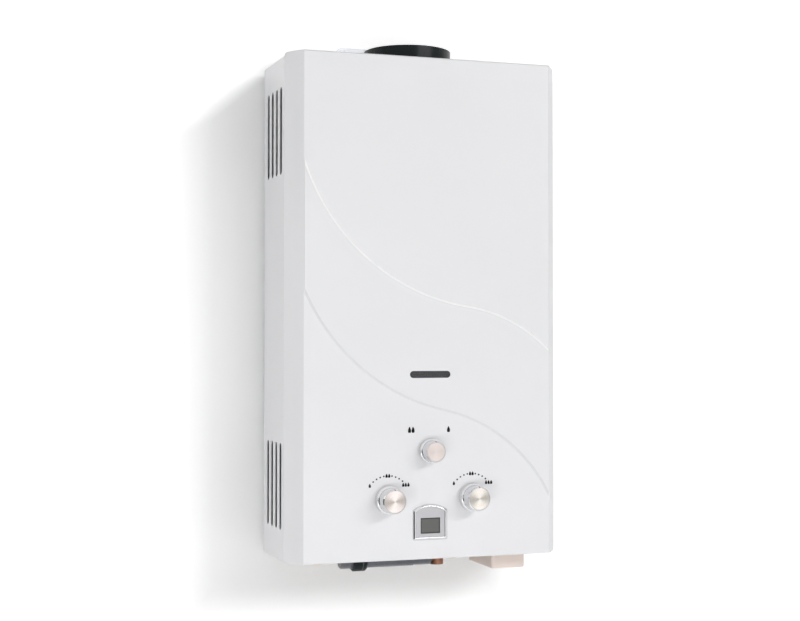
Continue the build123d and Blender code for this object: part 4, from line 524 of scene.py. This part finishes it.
# Circuit board: green resist with paler tracks.
def circuit_board(name):
    material, tree, shader = new_material(name)
    grid = put(tree, "ShaderNodeTexBrick", {"Vector": own_place(tree), "Scale": 160.0, "Mortar Size": 0.06,
                                            "Color1": colour(0.012, 0.07, 0.035),
                                            "Color2": colour(0.016, 0.09, 0.045),
                                            "Mortar": colour(0.05, 0.17, 0.09)})
    drift = effect(tree, tone_drift, Color=grid.outputs["Color"], Scale=50.0, Spread=0.1)
    fine = effect(tree, grit, Scale=1500.0)
    set_up(tree, shader, Base_Color=drift["Color"], Roughness=between(tree, fine["Speck"], (0.28, 0.42)),
           Normal=bump(tree, grid.outputs["Fac"], 0.3, 0.04 * MM))
    return material


# Battery cell: dark sleeve with a metallic copper band over the upper share of its length.
BAND_SHARE = 0.3
BAND_EDGE = 0.3 * MM


def cell_sleeve(name, node):
    low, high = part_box(node)
    band = high[2] - (high[2] - low[2]) * BAND_SHARE
    material, tree, shader = new_material(name)
    banded = spread(tree, split(tree, own_place(tree))["Z"], band, band + BAND_EDGE)
    drift = effect(tree, tone_drift, Color=colour(0.018, 0.019, 0.022), Scale=60.0, Spread=0.1)
    fine = effect(tree, grit, Scale=1200.0)
    base = cover(tree, drift["Color"], colour(0.62, 0.34, 0.16), banded)
    set_up(tree, shader, Base_Color=base, Roughness=between(tree, fine["Speck"], (0.24, 0.36)),
           Metallic=between(tree, banded, (0.2, 0.95)), Normal=bump(tree, fine["Height"], 0.05, 0.03 * MM))
    return material


# The finishes. Lines of drawn metal run along X; a polished face has no direction.
STEEL_LINES = (300.0, 1800.0, 1800.0)
ALONG_X = (90.0, 2200.0, 2200.0)
POLISHED = (500.0, 500.0, 500.0)

WHITE = colour(0.785, 0.785, 0.800)
RUBBED_WHITE = colour(0.86, 0.86, 0.87)
SATIN = (0.36, 0.44)
casing_enamel = enamel("casing_enamel", WHITE, RUBBED_WHITE, SATIN, painted_shading=painted_shade_inside_casing)
panel_enamel = enamel("panel_enamel", WHITE, RUBBED_WHITE, SATIN, painted_shading=panel_painted_light)
flue_enamel = enamel("flue_enamel", colour(0.005, 0.010, 0.010), colour(0.03, 0.036, 0.036), (0.16, 0.28),
                     glint=0.16, dusty=0.03)
galvanised = zinc_sheet("galvanised", colour(0.50, 0.51, 0.53), colour(0.38, 0.39, 0.41), (0.40, 0.55))
knob_plating = drawn_metal("knob_plating", colour(0.74, 0.74, 0.755), colour(0.64, 0.64, 0.655),
                           (0.08, 0.14), POLISHED, 0.02)
rim_plating = drawn_metal("rim_plating", colour(0.72, 0.72, 0.735), colour(0.62, 0.62, 0.635),
                          (0.06, 0.12), POLISHED, 0.02)
rim_plate = drawn_metal("rim_plate", colour(0.48, 0.475, 0.495), colour(0.425, 0.42, 0.44),
                        (0.34, 0.46), ALONG_X)
bright_steel = drawn_metal("bright_steel", colour(0.62, 0.62, 0.63), colour(0.48, 0.48, 0.49),
                           (0.24, 0.38), STEEL_LINES)
nickel_bar = drawn_metal("nickel_bar", colour(0.125, 0.13, 0.14), colour(0.076, 0.08, 0.09),
                         (0.22, 0.36), ALONG_X, 0.1)
gas_disc_face = turned_disc("gas_disc_face", "gas_disc", colour(0.80, 0.735, 0.705),
                            colour(0.42, 0.375, 0.35), (0.26, 0.36), 0.6, 0.85)
water_disc_face = turned_disc("water_disc_face", "water_disc", colour(0.755, 0.715, 0.67),
                              colour(0.39, 0.365, 0.33), (0.26, 0.36), 0.6, 0.85)
season_disc_face = turned_disc("season_disc_face", "season_disc", colour(0.615, 0.55, 0.525),
                               colour(0.54, 0.49, 0.46), (0.42, 0.5), 0.3, 0.4)
crystal = liquid_crystal("crystal", "display_lens", colour(0.092, 0.092, 0.086),
                         colour(0.022, 0.022, 0.022))
slot_glass = tinted_glass("slot_glass", colour(0.07, 0.074, 0.082), 0.5)
copper = stained_metal("copper", colour(0.78, 0.42, 0.28), colour(0.30, 0.14, 0.09), 0.45, (0.22, 0.45))
brass = stained_metal("brass", colour(0.74, 0.56, 0.27), colour(0.40, 0.28, 0.12), 0.4, (0.2, 0.42))
drain_copper = stained_metal("drain_copper", colour(0.50, 0.26, 0.17), colour(0.18, 0.085, 0.06), 0.6,
                             (0.24, 0.45))
alloy = cast_metal("alloy", colour(0.62, 0.62, 0.61), colour(0.44, 0.44, 0.43), (0.42, 0.6))
ceramic = moulded("ceramic", colour(0.84, 0.82, 0.76), colour(0.88, 0.87, 0.83), (0.16, 0.26),
                  grain=900.0, relief=0.05)
rubber = moulded("rubber", colour(0.022, 0.022, 0.023), colour(0.06, 0.06, 0.06), (0.6, 0.78),
                 grain=1200.0, relief=0.2)
black_plastic = moulded("black_plastic", colour(0.009, 0.014, 0.016), colour(0.04, 0.05, 0.055),
                        (0.34, 0.46), dusty=0.015, glint=0.17)
switch_plastic = moulded("switch_plastic", colour(0.030, 0.030, 0.032), colour(0.08, 0.08, 0.08), (0.4, 0.52))
coil_sleeve = moulded("coil_sleeve", colour(0.16, 0.022, 0.018), colour(0.28, 0.06, 0.05), (0.34, 0.46))
igniter_plastic = moulded("igniter_plastic", colour(0.07, 0.075, 0.08), colour(0.16, 0.165, 0.17),
                          (0.42, 0.54))
cream_plastic = moulded("cream_plastic", colour(0.73, 0.63, 0.58), colour(0.79, 0.71, 0.67), (0.4, 0.5),
                        grain=1300.0, relief=0.1)
sensor_body = moulded("sensor_body", colour(0.10, 0.055, 0.035), colour(0.2, 0.12, 0.08), (0.36, 0.5))
lead_jacket = moulded("lead_jacket", colour(0.32, 0.028, 0.022), colour(0.42, 0.08, 0.06), (0.42, 0.56))
print_ink = moulded("print_ink", colour(0.006, 0.006, 0.007), colour(0.015, 0.015, 0.015), (0.5, 0.62),
                    grain=2200.0, relief=0.06, dusty=0.0, glint=0.15)
board_green = circuit_board("board_green")
cell_wrap = cell_sleeve("cell_wrap", "battery_cells")

FINISHES = {
    casing_enamel: ["casing"],
    panel_enamel: ["front_panel"],
    flue_enamel: ["flue_collar"],
    galvanised: ["back_panel", "hood", "brackets", "burner_tray", "panel_clips", "glass_retainer"],
    knob_plating: ["gas_knob", "water_knob", "season_knob"],
    gas_disc_face: ["gas_disc"],
    water_disc_face: ["water_disc"],
    season_disc_face: ["season_disc"],
    rim_plating: ["display_rim"],
    rim_plate: ["display_plate"],
    crystal: ["display_lens"],
    board_green: ["display_board"],
    slot_glass: ["sight_glass"],
    bright_steel: ["gas_spindle", "water_spindle", "season_spindle", "flow_rod", "valve_spring",
                   "valve_screws", "electrodes", "switch_lever", "lid_contact", "battery_contacts",
                   "burner_bars"],
    copper: ["exchanger_shell", "exchanger_fins", "exchanger_tube", "water_pipes"],
    drain_copper: ["drain_elbow"],
    brass: ["pipe_unions", "gas_jets", "water_valve", "valve_cover", "gas_inlet", "cold_inlet",
            "hot_outlet"],
    alloy: ["gas_valve", "season_valve", "gas_rail"],
    ceramic: ["insulators"],
    rubber: ["diaphragm"],
    nickel_bar: ["drain_bar"],
    black_plastic: ["drain_nut", "lock_ring"],
    cream_plastic: ["battery_box", "battery_lid"],
    cell_wrap: ["battery_cells"],
    switch_plastic: ["micro_switch"],
    coil_sleeve: ["solenoid_valve"],
    igniter_plastic: ["igniter_box"],
    sensor_body: ["safety_sensors"],
    lead_jacket: ["leads"],
}
for material, names in FINISHES.items():
    for name in names:
        nodes[name].data.materials.clear()
        nodes[name].data.materials.append(material)


# Mesh helpers.
SHARP_TURN = math.radians(30.0)


def fixed_piece(name, mesh, material):
    """Turns a finished mesh into a piece that stays with the housing."""
    bmesh.ops.recalc_face_normals(mesh, faces=mesh.faces)
    data = bpy.data.meshes.new(name)
    mesh.to_mesh(data)
    mesh.free()
    data.materials.append(material)
    piece = bpy.data.objects.new(name, data)
    scene.collection.objects.link(piece)
    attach(piece, "housing")
    return piece


def join_rings(mesh, rings):
    """Smooth faces from each ring to the next and from the last to the first, a list for each ring."""
    bands = []
    for row, ring in enumerate(rings):
        following = rings[(row + 1) % len(rings)]
        band = []
        for i in range(len(ring)):
            j = (i + 1) % len(ring)
            face = mesh.faces.new((ring[i], ring[j], following[j], following[i]))
            face.smooth = True
            band.append(face)
        bands.append(band)
    return bands


def sharpen(mesh, rounded=()):
    """Makes edges sharp where the faces turn clearly, apart from edges between rounded faces."""
    for edge in mesh.edges:
        is_round = all(face in rounded for face in edge.link_faces)
        edge.smooth = is_round or edge.calc_face_angle() < SHARP_TURN


# Printed marks on the front panel: dots and drops on an arc round each main knob, one and two larger
# drops beside the season knob. Angles are degrees from straight up, a drop is given by width and height.
BAND_RISE = 1.5 * MM
FRONT_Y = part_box("front_panel")[0][1] + BAND_RISE
INK = 0.06 * MM
DIAL_RADIUS = 27.6 * MM
DIAL_DOTS = (40.5, 30.0, 20.0, 10.5)
DIAL_DROPS = ((1, -53.0), (2, 0.0), (3, 53.0))
DIAL_DROP = (3.3 * MM, 5.1 * MM)
DOT_RADIUS = 1.0 * MM
DOT_STEPS = 20
SEASON_DROP = (4.4 * MM, 7.8 * MM)
SEASON_ASIDE = 23.2 * MM
SEASON_ABOVE = 24.8 * MM
# A drop's shape: how fast it tapers, where its foot is cut, and its swell and spacing in widths.
DROP_STEPS = 28
DROP_TAPER = 0.9
DROP_FOOT = -0.86
DROP_SWELL = 1.12
DROP_SPACING = 0.98


def raise_outline(mesh, outline):
    """A flat outline in X and Z, raised by the ink's thickness from the panel's face."""
    top = [mesh.verts.new((x, FRONT_Y - INK, z)) for x, z in outline]
    foot = [mesh.verts.new((x, FRONT_Y + INK, z)) for x, z in outline]
    mesh.faces.new(top)
    mesh.faces.new(list(reversed(foot)))
    for i in range(len(outline)):
        j = (i + 1) % len(outline)
        mesh.faces.new((top[j], top[i], foot[i], foot[j]))


def dot(mesh, x, z):
    turns = [2.0 * math.pi * i / DOT_STEPS for i in range(DOT_STEPS)]
    raise_outline(mesh, [(x + DOT_RADIUS * math.sin(turn), z + DOT_RADIUS * math.cos(turn))
                         for turn in turns])


def drop(mesh, x, z, width, height):
    """A drop with its point up and a blunt foot, centred on x and z."""
    outline = []
    for i in range(DROP_STEPS):
        turn = 2.0 * math.pi * i / DROP_STEPS
        half = 0.5 * width * math.sin(turn) * math.sin(turn / 2.0) ** DROP_TAPER
        level = max(math.cos(turn), DROP_FOOT)
        outline.append((x + half * DROP_SWELL, z + 0.5 * height * level))
    raise_outline(mesh, outline)


def drops(mesh, x, z, count, size):
    width, height = size
    for i in range(count):
        drop(mesh, x + (i - (count - 1) / 2.0) * width * DROP_SPACING, z, width, height)


def dial_marks(name, node):
    centre_x, _, centre_z = middle(node)

    def on_arc(angle):
        turn = math.radians(angle)
        return centre_x + DIAL_RADIUS * math.sin(turn), centre_z + DIAL_RADIUS * math.cos(turn)

    mesh = bmesh.new()
    for side in (-1, 1):
        for angle in DIAL_DOTS:
            dot(mesh, *on_arc(side * angle))
    for count, angle in DIAL_DROPS:
        drops(mesh, *on_arc(angle), count, DIAL_DROP)
    fixed_piece(name, mesh, print_ink)


def season_marks(name):
    centre_x, _, centre_z = middle("season_knob")
    mesh = bmesh.new()
    for count, side in ((2, -1), (1, 1)):
        drops(mesh, centre_x + side * SEASON_ASIDE, centre_z + SEASON_ABOVE, count, SEASON_DROP)
    fixed_piece(name, mesh, print_ink)


dial_marks("gas_dial_marks", "gas_knob")
dial_marks("water_dial_marks", "water_knob")
season_marks("season_marks")


# Half-inch connections below the casing: a helical thread, a hexagon with its corners turned off,
# a plain neck, and the bore through all of them.
PORT_SIDES = 48
PORT_BORE = 6.5 * MM
THREAD_RADIUS = 10.48 * MM
THREAD_LENGTH = 16.0 * MM
THREAD_PITCH = 1.814 * MM
THREAD_DEPTH = 1.16 * MM
ROWS_A_TURN = 12
HEXAGON_HEIGHT = 10.0 * MM
HEXAGON_HALF = 13.0 * MM
CORNER_RADIUS = 13.4 * MM
CORNER_DROP = 1.0 * MM
NECK_RADIUS = 9.0 * MM


def thread_radius(angle, level):
    """Radius of the thread at an angle round it and a height over its foot."""
    turns = level / THREAD_PITCH - angle / (2.0 * math.pi)
    ridge = 0.5 + 0.5 * math.cos(2.0 * math.pi * turns)
    ends = min(1.0, level / THREAD_PITCH, (THREAD_LENGTH - level) / THREAD_PITCH)
    return THREAD_RADIUS - THREAD_DEPTH * (1.0 - ridge * ends)


def hexagon_radius(angle):
    sixth = math.pi / 3.0
    return HEXAGON_HALF / math.cos(angle % sixth - sixth / 2.0)


def turned_corner(angle):
    return min(CORNER_RADIUS, hexagon_radius(angle))


def threaded_fitting(name, node):
    low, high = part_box(node)
    centre_x, centre_y, _ = middle(node)
    top = high[2] - low[2]
    nut_top = THREAD_LENGTH + HEXAGON_HEIGHT
    steps = round(THREAD_LENGTH / THREAD_PITCH * ROWS_A_TURN)
    heights = [THREAD_LENGTH * i / steps for i in range(steps + 1)]
    rows = [(0.0, lambda angle: PORT_BORE)]
    rows += [(height, lambda angle, height=height: thread_radius(angle, height)) for height in heights]
    rows += [(THREAD_LENGTH, turned_corner), (THREAD_LENGTH + CORNER_DROP, hexagon_radius),
             (nut_top - CORNER_DROP, hexagon_radius), (nut_top, turned_corner),
             (nut_top, lambda angle: NECK_RADIUS), (top, lambda angle: NECK_RADIUS),
             (top, lambda angle: PORT_BORE)]
    mesh = bmesh.new()
    angles = [2.0 * math.pi * i / PORT_SIDES for i in range(PORT_SIDES)]
    rings = [[mesh.verts.new((centre_x + radius(angle) * math.cos(angle),
                              centre_y + radius(angle) * math.sin(angle), low[2] + height))
              for angle in angles] for height, radius in rows]
    bands = join_rings(mesh, rings)
    sharpen(mesh, {face for band in bands[1:steps + 1] for face in band})
    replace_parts(fixed_piece(name, mesh, brass), node)


for port in ("gas_inlet", "cold_inlet", "hot_outlet"):
    threaded_fitting(port + "_fitting", port)


# Display rim: a plated frame with an arched top, a broad outer slope and a narrow inner one.
RIM_ARCH = 7.0 * MM
RIM_WIDTH = 3.6 * MM
RIM_CORNER = 1.8 * MM
LEAST_CORNER = 0.3 * MM
CORNER_STEPS = 4
ARCH_STEPS = 12
# From the outer foot to the inner foot: shares of the rim's width and of its rise.
RIM_PROFILE = [(0.0, 0.0), (0.0, 0.2), (0.6, 1.0), (0.83, 1.0), (1.0, 0.6), (1.0, 0.0)]


def soft_corner(before, corner, after):
    points = []
    for i in range(CORNER_STEPS + 1):
        t = i / CORNER_STEPS
        points.append(tuple((1.0 - t) ** 2 * a + 2.0 * t * (1.0 - t) * b + t * t * c
                            for a, b, c in zip(before, corner, after)))
    return points


def rim_outline(inset):
    """The rim's outline in X and Z, moved inward by the inset."""
    low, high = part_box("display_rim")
    half = (high[0] - low[0]) / 2
    arch_radius = (half ** 2 + RIM_ARCH ** 2) / (2.0 * RIM_ARCH)
    arch_z = high[2] - arch_radius
    side, reach, foot = half - inset, arch_radius - inset, low[2] + inset
    lean = math.asin(side / reach)
    shoulder = arch_z + reach * math.cos(lean)
    corner = max(RIM_CORNER - inset, LEAST_CORNER)
    cut = corner * math.tan((math.pi / 2.0 - lean) / 2.0)
    turns = [(lean - cut / reach) * (1.0 - i / ARCH_STEPS) for i in range(ARCH_STEPS + 1)]
    arch = [(reach * math.sin(turn), arch_z + reach * math.cos(turn)) for turn in turns]
    right = soft_corner((side - corner, foot), (side, foot), (side, foot + corner))
    right += soft_corner((side, shoulder - cut), (side, shoulder), arch[0])
    right += arch[1:]
    left = [(-x, z) for x, z in reversed(right[:-1])]
    centre_x = middle("display_rim")[0]
    return [(centre_x + x, z) for x, z in right + left]


def display_frame(name):
    low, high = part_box("display_rim")
    mesh = bmesh.new()
    rings = []
    for share, rise in RIM_PROFILE:
        y = high[1] - rise * (high[1] - low[1])
        rings.append([mesh.verts.new((x, y, z)) for x, z in rim_outline(share * RIM_WIDTH)])
    join_rings(mesh, rings)
    sharpen(mesh)
    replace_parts(fixed_piece(name, mesh, rim_plating), "display_rim")


display_frame("display_frame")


# The valve spring shortens as the flow rod slides. Here its coil is a copy of the CAD spring, in that
# spring's place, and stays with the housing.
coil = bpy.data.objects.new("valve_spring_coil", nodes["valve_spring"].data.copy())
scene.collection.objects.link(coil)
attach(coil, "housing")
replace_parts(coil, "valve_spring")
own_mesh(coil)


# Wall and floor. The camera sees the wall brightened by its own glow outside these limits of the object's
# shadow, over the width of the fades, so the shadow's outer edges are painted there. A slanted line
# cuts the shadow's upper corner, and the wall above the object is brightened most.
SHADOW_X = (-228.0 * MM, 120.0 * MM)
SHADOW_Z = (-45.0 * MM, 583.0 * MM)
FADE = 80.0 * MM
TOP_FADE = 22.0 * MM
TOP_SHARE = 1.7
CORNER_SLOPE = -0.806
CORNER = (710.0 * MM, 742.0 * MM)
CORNER_SHARE = 1.3


def seen(tree):
    """1 for rays from the camera, from metal and from glass, 0 for rays that carry light."""
    rays = put(tree, "ShaderNodeLightPath").outputs
    return largest(tree, rays["Is Camera Ray"], rays["Is Glossy Ray"], rays["Is Transmission Ray"])


def clear_of_shadow(tree):
    place = split(tree, own_place(tree))
    slant = work(tree, "MULTIPLY_ADD", place["X"], CORNER_SLOPE, place["Z"])
    return largest(tree, spread(tree, place["X"], SHADOW_X[0], SHADOW_X[0] - FADE),
                   spread(tree, place["X"], SHADOW_X[1], SHADOW_X[1] + FADE),
                   spread(tree, place["Z"], SHADOW_Z[0], SHADOW_Z[0] - FADE),
                   spread(tree, place["Z"], SHADOW_Z[1], SHADOW_Z[1] + TOP_FADE, 0.0, TOP_SHARE),
                   spread(tree, slant, CORNER[0], CORNER[1], 0.0, CORNER_SHARE))


def one_sided(name, tone, lift, grade):
    """A pale studio surface that shows only from its front, so views from behind see the object.
    The lift brings it up to white for the camera and for mirror-like metal, and lights nothing.
    The grade is added to it away from the shadow at the object's left and foot, most of all above it."""
    material, tree, _ = new_material(name)
    tree.nodes.clear()
    drift = effect(tree, tone_drift, Color=tone, Scale=1.5, Spread=0.004)
    plain = put(tree, "ShaderNodeBsdfDiffuse", {"Color": drift["Color"]}).outputs[0]
    lifted = work(tree, "MULTIPLY_ADD", clear_of_shadow(tree), grade, lift)
    glow = put(tree, "ShaderNodeEmission", {"Strength": times(tree, seen(tree), lifted)}).outputs[0]
    front = put(tree, "ShaderNodeAddShader", {0: plain, 1: glow}).outputs[0]
    clear = put(tree, "ShaderNodeBsdfTransparent").outputs[0]
    behind = put(tree, "ShaderNodeNewGeometry").outputs["Backfacing"]
    both = put(tree, "ShaderNodeMixShader", {0: behind, 1: front, 2: clear}).outputs[0]
    put(tree, "ShaderNodeOutputMaterial", {"Surface": both})
    return material


def studio_sheet(name, corners, faces, material):
    data = bpy.data.meshes.new(name)
    data.from_pydata(corners, [], faces)
    data.materials.append(material)
    piece = bpy.data.objects.new(name, data)
    scene.collection.objects.link(piece)
    return piece


WALL_Y = 0.6 * MM
WALL_HALF = 3.0
WALL_TOP = 3.2
FLOOR_Z = -0.5
FLOOR_FRONT, FLOOR_BACK = -4.0, 4.0
FLOOR_LIFT = 0.3
WALL_GRADE = 0.30
# The wall is open behind the back panel and its two tabs, so that the object's back is lit.
LAP = 2.0 * MM
TAB_HALF = 73.5 * MM
PANEL_Z = (4.0 * MM, 580.0 * MM)
OPEN_CELLS = [(2, 1), (1, 2), (2, 2), (3, 2), (2, 3)]
back_low, back_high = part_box("back_panel")
hole_half = back_high[0] - LAP
columns = [-WALL_HALF, -hole_half, LAP - TAB_HALF, TAB_HALF - LAP, hole_half, WALL_HALF]
levels = [FLOOR_Z, back_low[2] + LAP, PANEL_Z[0], PANEL_Z[1], back_high[2] - LAP, WALL_TOP]
wall_corners = [(x, WALL_Y, z) for z in levels for x in columns]
wall_faces = []
for row in range(len(levels) - 1):
    for column in range(len(columns) - 1):
        if (column, row) not in OPEN_CELLS:
            first = row * len(columns) + column
            wall_faces.append((first, first + 1, first + 1 + len(columns), first + len(columns)))
floor_white = one_sided("floor_white", colour(0.95, 0.95, 0.95), FLOOR_LIFT, 0.0)
wall_white = one_sided("wall_white", colour(0.94, 0.94, 0.94), 0.0, WALL_GRADE)
studio_sheet("wall", wall_corners, wall_faces, wall_white)
studio_sheet("floor", [(-WALL_HALF, FLOOR_FRONT, FLOOR_Z), (WALL_HALF, FLOOR_FRONT, FLOOR_Z),
                       (WALL_HALF, FLOOR_BACK, FLOOR_Z), (-WALL_HALF, FLOOR_BACK, FLOOR_Z)],
             [(0, 1, 2, 3)], floor_white)

# A dark card at the left, seen by polished metal alone, gives the plated edges their contrast.
CARD_X = -0.62
CARD_Y = (-0.75, 0.0)
CARD_Z = (-0.26, 0.22)
card_black, card_tree, card_shader = new_material("card_black")
card_tone = effect(card_tree, tone_drift, Color=colour(0.02, 0.02, 0.022), Scale=4.0, Spread=0.1)
set_up(card_tree, card_shader, Base_Color=card_tone["Color"], Roughness=0.8, Specular_IOR_Level=0.1)
card = studio_sheet("dark_card", [(CARD_X, CARD_Y[0], CARD_Z[0]), (CARD_X, CARD_Y[1], CARD_Z[0]),
                                  (CARD_X, CARD_Y[1], CARD_Z[1]), (CARD_X, CARD_Y[0], CARD_Z[1])],
                    [(0, 1, 2, 3)], card_black)
card.visible_camera = False
card.visible_diffuse = False
card.visible_transmission = False
card.visible_shadow = False


def soft_lamp(name, place, target, width, height, watts):
    data = bpy.data.lights.new(name, "AREA")
    data.shape = "RECTANGLE"
    data.size, data.size_y = width, height
    data.energy = watts
    lamp = bpy.data.objects.new(name, data)
    lamp.location = place
    aim = Vector(target) - Vector(place)
    lamp.rotation_euler = aim.to_track_quat("-Z", "Y").to_euler()
    scene.collection.objects.link(lamp)
    return lamp


# Both front lamps are aimed below the object, so that its foot is a little brighter than its top.
soft_lamp("key_lamp", place=(2.15, -3.9, 1.9), target=(0.0, -0.1, -6.0), width=3.1, height=0.9, watts=84.0)
low_lamp = soft_lamp("low_lamp", place=(-0.95, -2.0, -0.42), target=(-0.1, -0.1, -1.9),
                     width=1.8, height=0.8, watts=25.0)
low_lamp.visible_glossy = False
soft_lamp("rear_lamp", place=(0.9, 2.6, 1.3), target=(0.0, -0.1, 0.3), width=1.8, height=1.8, watts=16.0)

# The room is pale and dimmer on the right; the camera, polished metal and glass see it white.
ROOM_WHITE = colour(1.0, 1.0, 1.0)
ROOM_DIM = colour(0.45, 0.45, 0.46)
ROOM_TURN = (0.15, 0.55)
ROOM_STRENGTH = 0.45
world = bpy.data.worlds.new("studio_world")
scene.world = world
world.use_nodes = True
sky = world.node_tree
sky.nodes.clear()
heading = split(sky, put(sky, "ShaderNodeTexCoord").outputs["Generated"])
room = blend_colour(sky, spread(sky, heading["X"], ROOM_TURN[0], ROOM_TURN[1]), ROOM_WHITE, ROOM_DIM)
ambient = put(sky, "ShaderNodeBackground", {"Color": room, "Strength": ROOM_STRENGTH}).outputs[0]
backdrop = put(sky, "ShaderNodeBackground", {"Color": ROOM_WHITE, "Strength": 1.0}).outputs[0]
chosen = put(sky, "ShaderNodeMixShader", {0: seen(sky), 1: ambient, 2: backdrop}).outputs[0]
put(sky, "ShaderNodeOutputWorld", {"Surface": chosen})

camera_data = bpy.data.cameras.new("photo_camera")
camera_data.sensor_fit = "HORIZONTAL"
camera_data.sensor_width = 36.0
camera_data.lens = 67.02
camera_data.dof.use_dof = False
camera = bpy.data.objects.new("photo_camera", camera_data)
camera.location = (-0.5973, -1.7852, 0.2509)
camera.rotation_euler = (math.radians(91.314), 0.0, math.radians(-18.803))
scene.collection.objects.link(camera)
scene.camera = camera
scene.view_settings.view_transform = "Standard"
